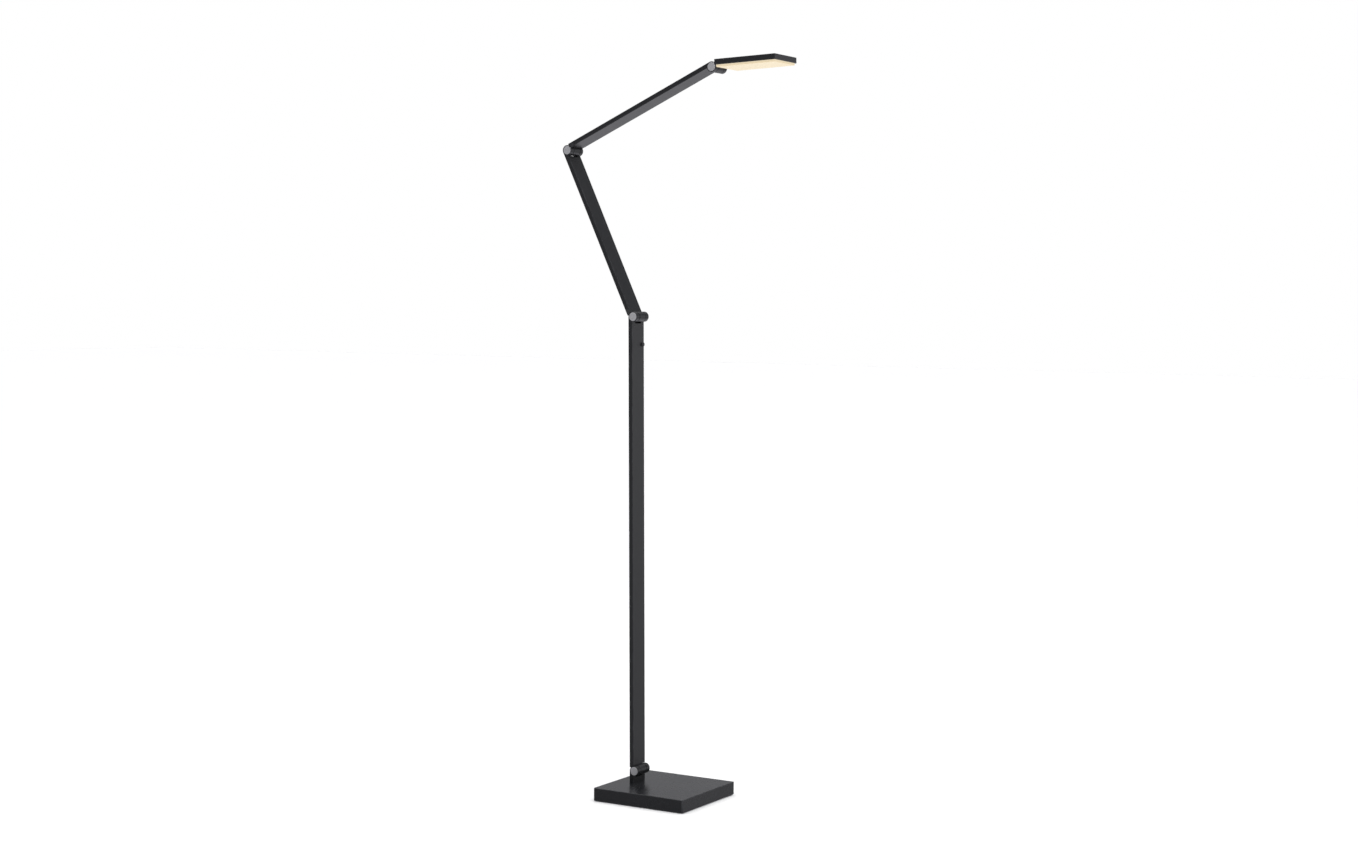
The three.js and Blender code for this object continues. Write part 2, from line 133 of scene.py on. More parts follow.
def together(skins: Iterable[Skin]) -> Skin:
    """Several separate surfaces as one, with their faces renumbered."""
    parts = list(skins)
    starts = np.cumsum([0] + [len(s.points) for s in parts])
    faces = [tuple(i + int(n) for i in f) for s, n in zip(parts, starts) for f in s.faces]
    return Skin(
        np.concatenate([s.points for s in parts]),
        faces,
        np.concatenate([s.edge for s in parts]),
        np.concatenate([s.turning for s in parts]),
    )


@dataclass(frozen=True)
class Corner:
    """A corner of a profile, and how far its edge is eased."""

    a: float
    b: float
    ease: float = 0.0


def eased(
    corners: Sequence[Corner], closed: bool = False, steps: int = 4
) -> tuple[np.ndarray, np.ndarray]:
    """A profile with its corners rounded.

    Each eased corner becomes a quadratic curve between the points one ease before and after it,
    which is (1-t)^2 of the first, 2t(1-t) of the corner and t^2 of the last. A point is added on
    each side where the wear of the edge has faded.

    Args:
        corners: The profile's corners in order.
        closed: True if the last corner joins the first.
        steps: Steps along each rounded corner.

    Returns:
        The profile's points, and for each 1 on a worn edge or 0 away from it.
    """
    at = np.array([(c.a, c.b) for c in corners], float)
    t = np.linspace(0, 1, steps + 1)[:, None]
    rows: list[np.ndarray] = []
    worn: list[np.ndarray] = []
    for i, corner in enumerate(corners):
        last = i in (0, len(corners) - 1) and not closed
        if corner.ease <= 0 or last:
            rows.append(at[i : i + 1])
            worn.append(np.zeros(1))
            continue
        back, ahead = at[i - 1] - at[i], at[(i + 1) % len(at)] - at[i]
        to_back, to_ahead = np.linalg.norm(back), np.linalg.norm(ahead)
        before = at[i] + back / to_back * corner.ease
        after = at[i] + ahead / to_ahead * corner.ease
        curve = (1 - t) ** 2 * before + 2 * t * (1 - t) * at[i] + t**2 * after
        fade = corner.ease + SUPPORT
        lead = [at[i] + back / to_back * fade] if to_back > 2 * fade else []
        tail = [at[i] + ahead / to_ahead * fade] if to_ahead > 2 * fade else []
        rows.append(np.vstack([*lead, curve, *tail]))
        worn.append(np.array([0.0] * len(lead) + [1.0] * len(t) + [0.0] * len(tail)))
    return np.vstack(rows), np.concatenate(worn)


@dataclass(frozen=True)
class Window:
    """A round hole through a double wall, inside one cell of each wall's grid.

    Attributes:
        outer: Ring and column number of the outer wall's cell.
        inner: The same for the inner wall's cell.
        radius: Radius of the hole.
    """

    outer: tuple[int, int]
    inner: tuple[int, int]
    radius: float


def hole_faces(
    rings: np.ndarray, window: Window, first: int
) -> tuple[np.ndarray, list[tuple[int, ...]], set[tuple[int, int]]]:
    """The rim and wall of a round hole that stands in for one cell in each of two walls.

    The circle's points are the cell's middle plus the radius times cosine and sine along the
    cell's two sides, starting towards its first corner. Each side of the cell is joined to its
    quarter of the circle by one flat face, and the two circles are joined by the hole's wall.

    Args:
        rings: The grid's points, as rings by columns.
        window: The hole.
        first: The number of the first new point.

    Returns:
        The new points, the new faces, and the cells that they take the place of.
    """
    columns = rings.shape[1]
    turn = np.radians(225) + np.linspace(0, 2 * np.pi, HOLE_SIDES, endpoint=False)
    circles: list[np.ndarray] = []
    faces: list[tuple[int, ...]] = []
    quarter = HOLE_SIDES // 4
    axes: tuple[np.ndarray, np.ndarray] | None = None
    for n, (k, i) in enumerate((window.outer, window.inner)):
        spots = [(k, i), (k, (i + 1) % columns), (k + 1, (i + 1) % columns), (k + 1, i)]
        corners = np.array([rings[s] for s in spots])
        numbers = [s[0] * columns + s[1] for s in spots]
        if axes is None:
            middle = corners.mean(0)
            sides = (corners[1] - corners[0], corners[3] - corners[0])
            axes = tuple(v / np.linalg.norm(v) for v in sides)
        else:
            through = np.cross(*axes)
            middle = middle + through * ((corners[0] - middle) @ through)
        circle = middle + window.radius * (
            np.cos(turn)[:, None] * axes[0] + np.sin(turn)[:, None] * axes[1]
        )
        toward = [int(np.argmin(np.linalg.norm(circle - c, axis=1))) for c in corners]
        step = 1 if (toward[1] - toward[0]) % HOLE_SIDES == quarter else -1
        for side in range(4):
            arc = [(toward[side] + step * j) % HOLE_SIDES for j in range(quarter, -1, -1)]
            rim = [first + n * HOLE_SIDES + j for j in arc]
            faces.append((numbers[side], numbers[(side + 1) % 4], *rim))
        circles.append(circle)
    ahead = np.roll(np.arange(HOLE_SIDES), -1)
    near = first + np.stack([np.arange(HOLE_SIDES), ahead], -1)
    wall = np.hstack([near, near[:, ::-1] + HOLE_SIDES]).tolist()
    return np.vstack(circles), faces + [tuple(w) for w in wall], {window.outer, window.inner}


def carried(
    rings: np.ndarray,
    edge: np.ndarray,
    joined: bool = False,
    turning: np.ndarray | None = None,
    windows: Sequence[Window] = (),
) -> Skin:
    """Closed rings of points stitched to one another in order.

    Args:
        rings: The points, as rings by columns by X, Y, Z.
        edge: The wear at each point, as rings by columns.
        joined: True if the last ring is stitched to the first, otherwise both ends are closed
            by a flat face.
        turning: Distance from the turning axis at each point, as rings by columns.
        windows: Round holes through the two walls that the rings make.

    Returns:
        The closed surface.
    """
    count, columns = rings.shape[:2]
    last = count if joined else count - 1
    k, i = np.meshgrid(np.arange(last), np.arange(columns), indexing="ij")
    k1, i1 = (k + 1) % count, (i + 1) % columns
    quads = np.stack([k * columns + i, k * columns + i1, k1 * columns + i1, k1 * columns + i], -1)
    points = rings.reshape(-1, 3)
    worn = edge.reshape(-1)
    extra: list[tuple[int, ...]] = []
    skipped: set[tuple[int, int]] = set()
    for window in windows:
        more, faces, cells = hole_faces(rings, window, len(points))
        points = np.vstack([points, more])
        worn = np.concatenate([worn, np.ones(len(more))])
        extra += faces
        skipped |= cells
    keep = np.ones((last, columns), bool)
    for cell in skipped:
        keep[cell] = False
    faces = [tuple(q) for q in quads[keep].tolist()] + extra
    if not joined:
        faces += [tuple(range(columns))[::-1], tuple(range((count - 1) * columns, count * columns))]
    spin = np.zeros(len(points)) if turning is None else turning.reshape(-1)
    return Skin(points, faces, worn, spin).facing_out()


@dataclass(frozen=True)
class Mark:
    """A point to add on one side of a rounded rectangle: side is +X, +Y, -X or -Y as 0 to 3."""

    side: int
    at: float


def rounded_rectangle(
    half_x: float, half_y: float, corner: float, marks: Sequence[Mark] = (), steps: int = 4
) -> tuple[np.ndarray, np.ndarray, np.ndarray]:
    """A rounded rectangle, from the -Y end of its +X side, anticlockwise.

    Each corner is a quarter circle about a centre one radius in from both sides.

    Args:
        half_x: Half the size along X.
        half_y: Half the size along Y.
        corner: Radius of the corners.
        marks: Extra points along the straight sides.
        steps: Steps along each corner.

    Returns:
        The points at no inset, the direction in which each point moves when the outline is
        taken in by one, and the wear at each.
    """
    points: list[list[float]] = []
    inward: list[list[float]] = []
    worn: list[float] = []
    size = (half_x, half_y)
    for side, end in enumerate(((1, 1), (-1, 1), (-1, -1), (1, -1))):
        along = 0 if side in (1, 3) else 1  # the axis that this side runs along
        across, sign = 1 - along, end[along]
        reach = sign * (size[along] - (corner + SUPPORT))
        between = sorted((m.at for m in marks if m.side == side), key=lambda v: v * sign)
        for stop in (-reach, *between, reach):
            spot, way = [stop, stop], [0.0, 0.0]
            spot[across] = size[across] * end[across]
            way[across] = -float(end[across])
            points.append(spot)
            inward.append(way)
            worn.append(0.0)
        centre = (end[0] * (half_x - corner), end[1] * (half_y - corner))
        for angle in np.radians(90 * side) + np.linspace(0, np.pi / 2, steps + 1):
            away = (math.cos(angle), math.sin(angle))
            points.append([centre[0] + corner * away[0], centre[1] + corner * away[1]])
            inward.append([-away[0], -away[1]])
            worn.append(1.0)
    return np.array(points), np.array(inward), np.array(worn)


def slab(
    half_x: float,
    half_y: float,
    corner: float,
    profile: Sequence[Corner],
    closed: bool = False,
    holes: Sequence[tuple[Mark, float, float]] = (),
    corner_wear: float = 1.0,
) -> Skin:
    """A rounded rectangle swept through a profile of insets and heights.

    A point's place is the outline's, taken in along its own normal by the profile's inset, at
    the profile's height. Past a share of the corner's radius, SOFT_SHARE, the rest of the inset
    shrinks the ring about its middle instead, so that the corner never closes to a point.

    Args:
        half_x: Half the outer size along X.
        half_y: Half the outer size along Y.
        corner: Radius of the outer corners.
        profile: Corners as inset and height. An open profile ends in a flat face at each end.
        closed: True for a profile that closes on itself, such as a tube's wall.
        holes: Round holes through a side wall: a side and a place along it, the height of the
            hole's middle and its radius. The profile has a point half a cell above and below.
        corner_wear: Share of the wear that the upright corners show.

    Returns:
        The closed surface.
    """
    line, worn = eased(profile, closed)
    cells = {Mark(m.side, m.at + way * (r + CELL_MARGIN)) for m, _, r in holes for way in (-1, 1)}
    outline, inward, around = rounded_rectangle(half_x, half_y, corner, list(cells))
    inset, height = line[:, 0], line[:, 1]
    soft = np.minimum(inset, SOFT_SHARE * corner)[:, None, None]
    half = np.array([half_x, half_y])
    shrink = (half - inset[:, None, None]) / (half - soft)
    plan = (outline[None] + soft * inward[None]) * shrink
    rings = np.concatenate([plan, np.broadcast_to(height[:, None, None], (*plan.shape[:2], 1))], -1)
    upright = corner_wear * (inset < SOFT_SHARE * corner)
    edge = np.maximum(worn[:, None], upright[:, None] * around[None])
    windows = [find_window(rings, inset, height, *hole, half) for hole in holes]
    return carried(rings, edge, closed, windows=windows)


def find_window(
    rings: np.ndarray,
    inset: np.ndarray,
    height: np.ndarray,
    mark: Mark,
    middle: float,
    radius: float,
    half: np.ndarray,
) -> Window:
    """Finds the outer and inner cells that a hole in a side wall replaces.

    Args:
        rings: The slab's grid.
        inset: Each ring's inset.
        height: Each ring's height.
        mark: The hole's side and its place along that side.
        middle: Height of the hole's middle.
        radius: Radius of the hole.
        half: Half the slab's size along X and Y.

    Returns:
        The hole as a window in the grid.
    """
    along = 0 if mark.side in (1, 3) else 1
    across = 1 - along
    sign = 1 if mark.side in (0, 1) else -1
    outline = rings[int(np.argmin(inset))]
    on_side = np.abs(outline[:, across] - sign * half[across]) < SAME
    reach = radius + CELL_MARGIN
    columns = [
        int(np.flatnonzero(on_side & (np.abs(outline[:, along] - v) < SAME))[0])
        for v in (mark.at - reach, mark.at + reach)
    ]
    column = columns[0] if (columns[1] - columns[0]) % rings.shape[1] == 1 else columns[1]
    cells = []
    for on_wall in (inset < SAME, inset > SAME):
        ring = [
            int(np.flatnonzero(on_wall & (np.abs(height - v) < SAME))[0])
            for v in (middle - reach, middle + reach)
        ]
        cells.append((min(ring), column))
    return Window(cells[0], cells[1], radius)


def about_y(radius: np.ndarray, height: np.ndarray, angle: np.ndarray) -> np.ndarray:
    """Rings about the Y axis: radius times cosine in X, height in Y and radius times sine in Z."""
    level = np.broadcast_to(height, radius.shape)
    return np.stack([radius * np.cos(angle), level, radius * np.sin(angle)], -1)


def turned(profile: Sequence[Corner], sides: int = SIDES, closed: bool = False) -> Skin:
    """A profile turned about the Y axis, with its points' radii kept as the turning.

    Args:
        profile: Corners as radius and height. An open one ends in a flat face at each end.
        sides: Columns round the axis.
        closed: True for a ring, whose profile closes on itself.

    Returns:
        The closed surface.
    """
    line, worn = eased(profile, closed)
    angle = np.linspace(0, 2 * np.pi, sides, endpoint=False)
    radius = np.tile(line[:, :1], (1, sides))
    spread = np.broadcast_to(worn[:, None], radius.shape)
    return carried(about_y(radius, line[:, 1:], angle), spread, closed, turning=radius)


def polygon_radius(angle: np.ndarray, flats: float, sides: int = 6) -> np.ndarray:
    """Distance from the middle of a regular polygon to its rim at each angle.

    It is half the width across the flats, over the cosine of the angle from the nearest flat.
    """
    step = 2 * np.pi / sides
    return flats / 2 / np.cos((angle + step / 2) % step - step / 2)


# ------------------------------------------------------------------------------------------
# finishes
# ------------------------------------------------------------------------------------------


def linear(hex_colour: str) -> tuple[float, float, float, float]:
    """An sRGB hex colour as linear red, green, blue and an alpha of 1.

    Each channel c becomes c / 12.92 up to 0.04045, and ((c + 0.055) / 1.055) to the power 2.4
    above it.
    """
    channels = [int(hex_colour[i : i + 2], 16) / 255 for i in (1, 3, 5)]
    out = [c / 12.92 if c <= 0.04045 else ((c + 0.055) / 1.055) ** 2.4 for c in channels]
    return (out[0], out[1], out[2], 1.0)


def add_node(
    tree: bpy.types.NodeTree,
    kind: str,
    settings: dict[str, object] | None = None,
    links: dict[str | int, Source] | None = None,
    values: dict[str | int, object] | None = None,
) -> bpy.types.Node:
    """Adds one node.

    Args:
        tree: The material's or world's node tree.
        kind: The node's type name.
        settings: Properties of the node itself.
        links: What to join to its inputs, by input name or number: a socket, or a node for the
            first of its outputs.
        values: Values for its unlinked inputs, by input name or number.

    Returns:
        The node.
    """
    node = tree.nodes.new(kind)
    for name, value in (settings or {}).items():
        setattr(node, name, value)
    for name, value in (values or {}).items():
        node.inputs[name].default_value = value
    for name, source in (links or {}).items():
        socket = source.outputs[0] if isinstance(source, bpy.types.Node) else source
        tree.links.new(socket, node.inputs[name])
    return node


def grains(size_mm: float, detail: float = 2.0) -> dict[str, float]:
    """A noise's values for grains of that width: its scale counts them along a metre."""
    return {"Scale": 1 / (size_mm * MM), "Detail": detail, "Roughness": 0.55}


def spread(span: tuple[float, float], ends: tuple[float, float] = (0.0, 1.0)) -> dict[str, float]:
    """The values that carry a span of numbers to the range between two ends."""
    return dict(zip(("From Min", "From Max", "To Min", "To Max"), (*span, *ends)))


def relief(depth_mm: float) -> dict[str, float]:
    """A bump's values for relief of that depth."""
    return {"Distance": depth_mm * MM, "Strength": 1.0}


@dataclass(frozen=True)
class Finish:
    """What every finish shares: an opaque shader with its own sockets set.

    Attributes:
        name: What the material really is and how its surface was made.
        colour: Its colour as sRGB hex.
        roughness: Middle of its roughness.
        metallic: 1 for bare metal, 0 for the rest.
        variation: How far the roughness wanders either way.
        patch_mm: Width of the patches in which it wanders.
    """

    name: str
    colour: str
    roughness: float
    metallic: float = 0.0
    variation: float = 0.03
    patch_mm: float = 18.0

    def begin(self) -> tuple[bpy.types.Material, bpy.types.Node, dict[str, Source]]:
        """Makes the material with its shader.

        Returns:
            The material, the shader, and the link that gives a texture the Object coordinates.
        """
        material = bpy.data.materials.new(self.name)
        material.use_nodes = True
        material.diffuse_color = linear(self.colour)
        tree = material.node_tree
        tree.nodes.clear()
        values = {
            "Base Color": linear(self.colour),
            "Roughness": self.roughness,
            "Metallic": self.metallic,
        }
        shader = add_node(tree, "ShaderNodeBsdfPrincipled", values=values)
        add_node(tree, "ShaderNodeOutputMaterial", links={"Surface": shader})
        place = add_node(tree, "ShaderNodeTexCoord").outputs["Object"]
        return material, shader, {"Vector": place}

    def wander(
        self, tree: bpy.types.NodeTree, shader: bpy.types.Node, place: dict[str, Source]
    ) -> bpy.types.Node:
        """Lets the roughness wander in patches, as handled and sprayed surfaces do."""
        patch = add_node(tree, "ShaderNodeTexNoise", None, place, grains(self.patch_mm, 3.0))
        ends = (self.roughness - self.variation, self.roughness + self.variation)
        values = spread(NOISE_SPAN, ends)
        level = add_node(tree, "ShaderNodeMapRange", None, {"Value": patch}, values)
        tree.links.new(level.outputs[0], shader.inputs["Roughness"])
        return level

    def build(self) -> bpy.types.Material:
        """The plain finish: its colour, with roughness that wanders."""
        material, shader, place = self.begin()
        self.wander(material.node_tree, shader, place)
        return material


@dataclass(frozen=True)
class PowderCoat(Finish):
    """Satin polyester powder, sprayed and baked on metal.

    It has a fine orange-peel surface about a millimetre from crest to crest, its colour and
    gloss are faintly cloudy, and it lies thinner and smoother on edges, where a painted sheen
    makes it lighter.

    Attributes:
        edge_sheen_colour: Colour of the painted sheen on the edges, where the coat lies thinner, as
            sRGB hex.
        peel_mm: From crest to crest of the orange peel.
        peel_depth_mm: Height of its crests.
        wear_and_sheen_mm: Width of the patches in which the edges are painted lighter, where the
            coat lies thinner.
        cloud_mm: Width of the clouds in its colour.
        cloud: How far the clouds darken or lighten the colour.
        polish: How much smoother the edges are, where the coat lies thinner.
    """

    WEAR_AND_SHEEN_SPAN = (0.35, 0.75)  # of the noise, over which the thinner coat and the painted sheen of the edges set in

    edge_sheen_colour: str = "#3a3b3e"
    peel_mm: float = 0.9
    peel_depth_mm: float = 0.006
    wear_and_sheen_mm: float = 25.0
    cloud_mm: float = 45.0
    cloud: float = 0.1
    polish: float = 0.08

    def build(self) -> bpy.types.Material:
        """The coat with its orange peel, cloudy roughness, and edges painted lighter as a sheen."""
        material, shader, place = self.begin()
        tree = material.node_tree
        add, join = partial(add_node, tree), tree.links.new
        level = self.wander(tree, shader, place)
        # Painted sheen: near eased edges the colour is mixed in patches towards a lighter one,
        # where the coat also lies thinner.
        worn = add("ShaderNodeAttribute", {"attribute_name": "edge"}).outputs["Fac"]
        patch = add("ShaderNodeTexNoise", None, place, grains(self.wear_and_sheen_mm, 3.0))
        patch = add("ShaderNodeMapRange", None, {"Value": patch}, spread(self.WEAR_AND_SHEEN_SPAN))
        thin_and_sheen = add("ShaderNodeMath", {"operation": "MULTIPLY"}, {0: worn, 1: patch})
        cloud = add("ShaderNodeTexNoise", None, place, grains(self.cloud_mm))
        values = spread((0.0, 1.0), (1 - self.cloud, 1 + self.cloud))
        cloud = add("ShaderNodeMapRange", None, {"Value": cloud}, values)
        values = {"Color": linear(self.colour)}
        tint = add("ShaderNodeHueSaturation", None, {"Value": cloud}, values)
        paler = {7: linear(self.edge_sheen_colour)}
        colour = add("ShaderNodeMix", {"data_type": "RGBA"}, {0: thin_and_sheen, 6: tint}, paler)
        join(colour.outputs[2], shader.inputs["Base Color"])
        gloss = add("ShaderNodeMath", {"operation": "MULTIPLY"}, {0: worn}, {1: self.polish})
        level = add("ShaderNodeMath", {"operation": "SUBTRACT"}, {0: level, 1: gloss})
        join(level.outputs[0], shader.inputs["Roughness"])
        peel = add("ShaderNodeTexNoise", None, place, grains(self.peel_mm, 1.0))
        peel = add("ShaderNodeBump", None, {"Height": peel}, relief(self.peel_depth_mm))
        join(peel.outputs[0], shader.inputs["Normal"])
        return material


@dataclass(frozen=True)
class TurnedMetal(Finish):
    """Bare metal faced on a lathe, with rings as fine as the tool's feed.

    Attributes:
        feed_mm: From ring to ring.
        ring_depth_mm: Depth of the rings, and of the blasted grain over them.
        blast_mm: Width of that grain.
    """

    feed_mm: float = 0.22
    ring_depth_mm: float = 0.004
    blast_mm: float = 0.5

    def build(self) -> bpy.types.Material:
        """The metal, with rings at equal steps of the distance from its own turning axis."""
        material, shader, place = self.begin()
        tree = material.node_tree
        add = partial(add_node, tree)
        self.wander(tree, shader, place)
        radius = add("ShaderNodeAttribute", {"attribute_name": "turning"}).outputs["Fac"]
        turns = {1: 2 * math.pi / self.feed_mm}
        rings = add("ShaderNodeMath", {"operation": "MULTIPLY"}, {0: radius}, turns)
        rings = add("ShaderNodeMath", {"operation": "SINE"}, {0: rings})
        depth = relief(self.ring_depth_mm)
        rings = add("ShaderNodeBump", None, {"Height": rings}, depth)
        blast = add("ShaderNodeTexNoise", None, place, grains(self.blast_mm))
        both = add("ShaderNodeBump", None, {"Height": blast, "Normal": rings}, depth)
        tree.links.new(both.outputs[0], shader.inputs["Normal"])
        return material


@dataclass(frozen=True)
class Grained(Finish):
    """A cast, moulded or pressed surface with an even grain.

    Attributes:
        grain_mm: Width of the grains.
        grain_depth_mm: Their depth.
        second_colour: Colour of the patches between, as sRGB hex.
    """

    PATCH_GRAINS = 8  # width of a patch of colour, in grains

    grain_mm: float = 0.8
    grain_depth_mm: float = 0.02
    second_colour: str = "#202124"

    def build(self) -> bpy.types.Material:
        """The grain as relief, over a colour that drifts between two near shades."""
        material, shader, place = self.begin()
        tree = material.node_tree
        add = partial(add_node, tree)
        self.wander(tree, shader, place)
        patches = grains(self.PATCH_GRAINS * self.grain_mm, 3.0)
        patch = add("ShaderNodeTexNoise", None, place, patches)
        shades = {6: linear(self.colour), 7: linear(self.second_colour)}
        colour = add("ShaderNodeMix", {"data_type": "RGBA"}, {0: patch}, shades)
        tree.links.new(colour.outputs[2], shader.inputs["Base Color"])
        grain = add("ShaderNodeTexNoise", None, place, grains(self.grain_mm))
        grain = add("ShaderNodeBump", None, {"Height": grain}, relief(self.grain_depth_mm))
        tree.links.new(grain.outputs[0], shader.inputs["Normal"])
        return material


@dataclass(frozen=True)
class OpalLight(Finish):
    """Opal acrylic, lit from behind by warm white LEDs.

    The light is even over the middle and falls a little towards the rim, where the LEDs end.

    Attributes:
        glow: Colour of the light that comes through, as sRGB hex.
        rim_glow: Its colour at the rim.
        strength: Brightness of the glow.
        cloud_mm: Width of the faint clouds in the glow.
        cloud: How far the clouds take the glow towards the rim's colour.
        grain_mm: Width of the surface's grain.
        grain_depth_mm: Its depth.
    """

    glow: str = "#c4b89c"
    rim_glow: str = "#bcac88"
    strength: float = 1.07
    cloud_mm: float = 30.0
    cloud: float = 0.25
    grain_mm: float = 0.7
    grain_depth_mm: float = 0.002

    def build(self) -> bpy.types.Material:
        """The acrylic, glowing through a faint fine grain."""
        material, shader, place = self.begin()
        tree = material.node_tree
        add = partial(add_node, tree)
        rim = add("ShaderNodeAttribute", {"attribute_name": "edge"}).outputs["Fac"]
        cloud = add("ShaderNodeTexNoise", None, place, grains(self.cloud_mm))
        settings = {"operation": "MULTIPLY_ADD"}
        share = add("ShaderNodeMath", settings, {0: cloud, 2: rim}, {1: self.cloud})
        shades = {6: linear(self.glow), 7: linear(self.rim_glow)}
        glow = add("ShaderNodeMix", {"data_type": "RGBA"}, {0: share}, shades)
        tree.links.new(glow.outputs[2], shader.inputs["Emission Color"])
        shader.inputs["Emission Strength"].default_value = self.strength
        grain = add("ShaderNodeTexNoise", None, place, grains(self.grain_mm))
        grain = add("ShaderNodeBump", None, {"Height": grain}, relief(self.grain_depth_mm))
        tree.links.new(grain.outputs[0], shader.inputs["Normal"])
        return material


FINISHES: dict[Slot, Finish] = {
    # A deep satin near-black that mirrors the room softly; smooth enough to show the post in it.
    Slot.BASE_PAINT: PowderCoat(
        "anthracite_powder_coat_on_steel",
        "#18191c",
        0.27,
        variation=0.012,
        patch_mm=60,
        peel_depth_mm=0.0015,
    ),
    # The same colour on the bars, a shade more matt, so that their faces read as flat greys.
    Slot.LINK_PAINT: PowderCoat(
        "anthracite_powder_coat_on_aluminium",
        "#18191c",
        0.33,
        variation=0.015,
        patch_mm=30,
        peel_depth_mm=0.0025,
    ),
    # Pale discs with a soft spread highlight and rings that show only from near.
    Slot.END_CAP: TurnedMetal("turned_satin_aluminium", "#e8e8ea", 0.5, 1.0),
    # Bright grey fastenings with coarser tool marks.
    Slot.STEEL: TurnedMetal("zinc_plated_steel", "#9a9da2", 0.32, 1.0, feed_mm=0.35),
    # Rough dark grey with rusty patches, as it leaves the sand.
    Slot.WEIGHT: Grained(
        "sand_cast_iron",
        "#3a3a3c",
        0.75,
        0.6,
        grain_mm=1.2,
        grain_depth_mm=0.15,
        second_colour="#2b2726",
    ),
    # Dull black with a soft pebbled skin.
    Slot.PAD: Grained(
        "moulded_rubber",
        "#1a1a1b",
        0.85,
        grain_mm=0.9,
        grain_depth_mm=0.08,
        second_colour="#222223",
    ),
    # Waxy black, seen only as a line between knuckles.
    Slot.WASHER: Grained("black_nylon", "#1d1e20", 0.5, grain_mm=0.6, second_colour="#242528"),
    # Even fine spark grain.
    Slot.BLACK_PLASTIC: Grained("moulded_black_abs", "#1b1c1e", 0.5, grain_mm=0.5),
    # Green lacquer over a faint weave.
    Slot.SWITCH_BOARD: Grained(
        "glass_fibre_board",
        "#1f5a34",
        0.35,
        grain_mm=0.7,
        grain_depth_mm=0.01,
        second_colour="#1a4d2c",
    ),
    # White lacquer, smooth and slightly glossy.
    Slot.LED_BOARD: Grained(
        "white_masked_aluminium_board",
        "#e6e6e1",
        0.4,
        grain_mm=0.6,
        grain_depth_mm=0.01,
        second_colour="#dcdcd6",
    ),
    # Clean white gloss that throws the light back down.
    Slot.REFLECTOR: Grained(
        "white_moulded_reflector",
        "#ecece8",
        0.3,
        grain_mm=0.6,
        grain_depth_mm=0.01,
        second_colour="#e2e2dc",
    ),
    # An even warm glow with no lamp to be seen behind it.
    Slot.DIFFUSER: OpalLight("lit_opal_acrylic", "#9b9080", 0.35),
}

# The button's coat: the links' coat painted a shade paler, as painted light over the shade on the
# button's side wall, and a little more even.
LIGHTENED_BUTTON_COAT = PowderCoat(
    "lightened_anthracite_powder_coat_on_button",
    "#303134",
    0.36,
    variation=0.02,
    patch_mm=6,
    peel_depth_mm=0.0015,
)


# ------------------------------------------------------------------------------------------
# places
# ------------------------------------------------------------------------------------------


@dataclass(frozen=True)
class Place:
    """A link's own frame: Y along its hinge axis, Z along the link and X towards its front.

    Attributes:
        x: Place of the frame's origin along the row's X, in mm.
        z: The same along the row's Z.
        degrees: How far the frame leans from upright, towards +X.
    """

    x: float
    z: float
    degrees: float = 0.0

    def settle(self, points: np.ndarray) -> np.ndarray:
        """Turns points about Y by the lean, moves them to the origin, and scales to metres."""
        c, s = math.cos(math.radians(self.degrees)), math.sin(math.radians(self.degrees))
        x = self.x + points[:, 0] * c + points[:, 2] * s
        z = self.z - points[:, 0] * s + points[:, 2] * c
        return np.stack([x, points[:, 1], z], -1) * MM

    def beyond(self, along: float) -> "Place":
        """The frame moved along its own Z."""
        x = self.x + along * math.sin(math.radians(self.degrees))
        return Place(x, self.z + along * math.cos(math.radians(self.degrees)), self.degrees)


def hinge_places() -> dict[str, tuple[float, float]]:
    """Each hinge's X and Z in mm, from the frame's joints."""
    hinges = (j for j in frame["joints"] if j["type"] == "hinge")
    return {j["name"]: (j["pos_m"][0] / MM, j["pos_m"][2] / MM) for j in hinges}


def link_place(start: tuple[float, float], end: tuple[float, float]) -> tuple[Place, float]:
    """A link's frame and length, from the hinge axes at its two ends."""
    dx, dz = end[0] - start[0], end[1] - start[1]
    return Place(start[0], start[1], math.degrees(math.atan2(dx, dz))), math.hypot(dx, dz)


class Workshop:
    """Makes Blender objects of surfaces, and keeps the finishes and a count of the pieces."""

    def __init__(self) -> None:
        """Builds the finish of every slot once."""
        self.materials = {slot: finish.build() for slot, finish in FINISHES.items()}
        self.pieces: list[bpy.types.Object] = []

    def make(self, node: str, skin: Skin, place: Place, slot: Slot, body: str) -> bpy.types.Object:
        """Makes the finished piece that stands for one CAD node.

        Args:
            node: The CAD node.
            skin: The piece's surface, in mm, in the frame of its place.
            place: Where that frame is.
            slot: The material slot that it takes its finish from.
            body: The body that it rides on.

        Returns:
            The piece, with its object at the origin.
        """
        mesh = mesh_of(node + "_finished", place.settle(skin.points), skin)
        mesh.polygons.foreach_set("use_smooth", np.ones(len(mesh.polygons), bool))
        mesh.update()
        mesh.set_sharp_from_angle(angle=math.radians(SHARP_DEGREES))
        mesh.materials.append(self.materials[slot])
        piece = bpy.data.objects.new(node + "_finished", mesh)
        bpy.context.scene.collection.objects.link(piece)
        weighted = piece.modifiers.new("even_normals", "WEIGHTED_NORMAL")
        weighted.keep_sharp = True
        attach(piece, body)
        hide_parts(node)
        self.pieces.append(piece)
        LOG.info("%s: %d points, %d faces", piece.name, len(mesh.vertices), len(mesh.polygons))
        return piece


# ------------------------------------------------------------------------------------------
# the bar and its hinge
# ------------------------------------------------------------------------------------------


@dataclass(frozen=True)
class Bar:
    """The flat bar section that the column, both arms and the post share, in mm."""

    width: float = 50.0
    thick: float = 10.0
    wall: float = 1.6
    corner: float = 0.8
    shoulder: float = 22.0
    tongue: float = 26.0
    gap: float = 0.3
    grub: float = 2.0
    grub_length: float = 4.4
    grub_tip: float = 0.4
    grub_socket: float = 1.9
    grub_socket_depth: float = 1.6
    end_ease: float = 0.25
    tongue_edge: float = 0.4

    @property
    def half(self) -> float:
        """Half the bar's width."""
        return self.width / 2


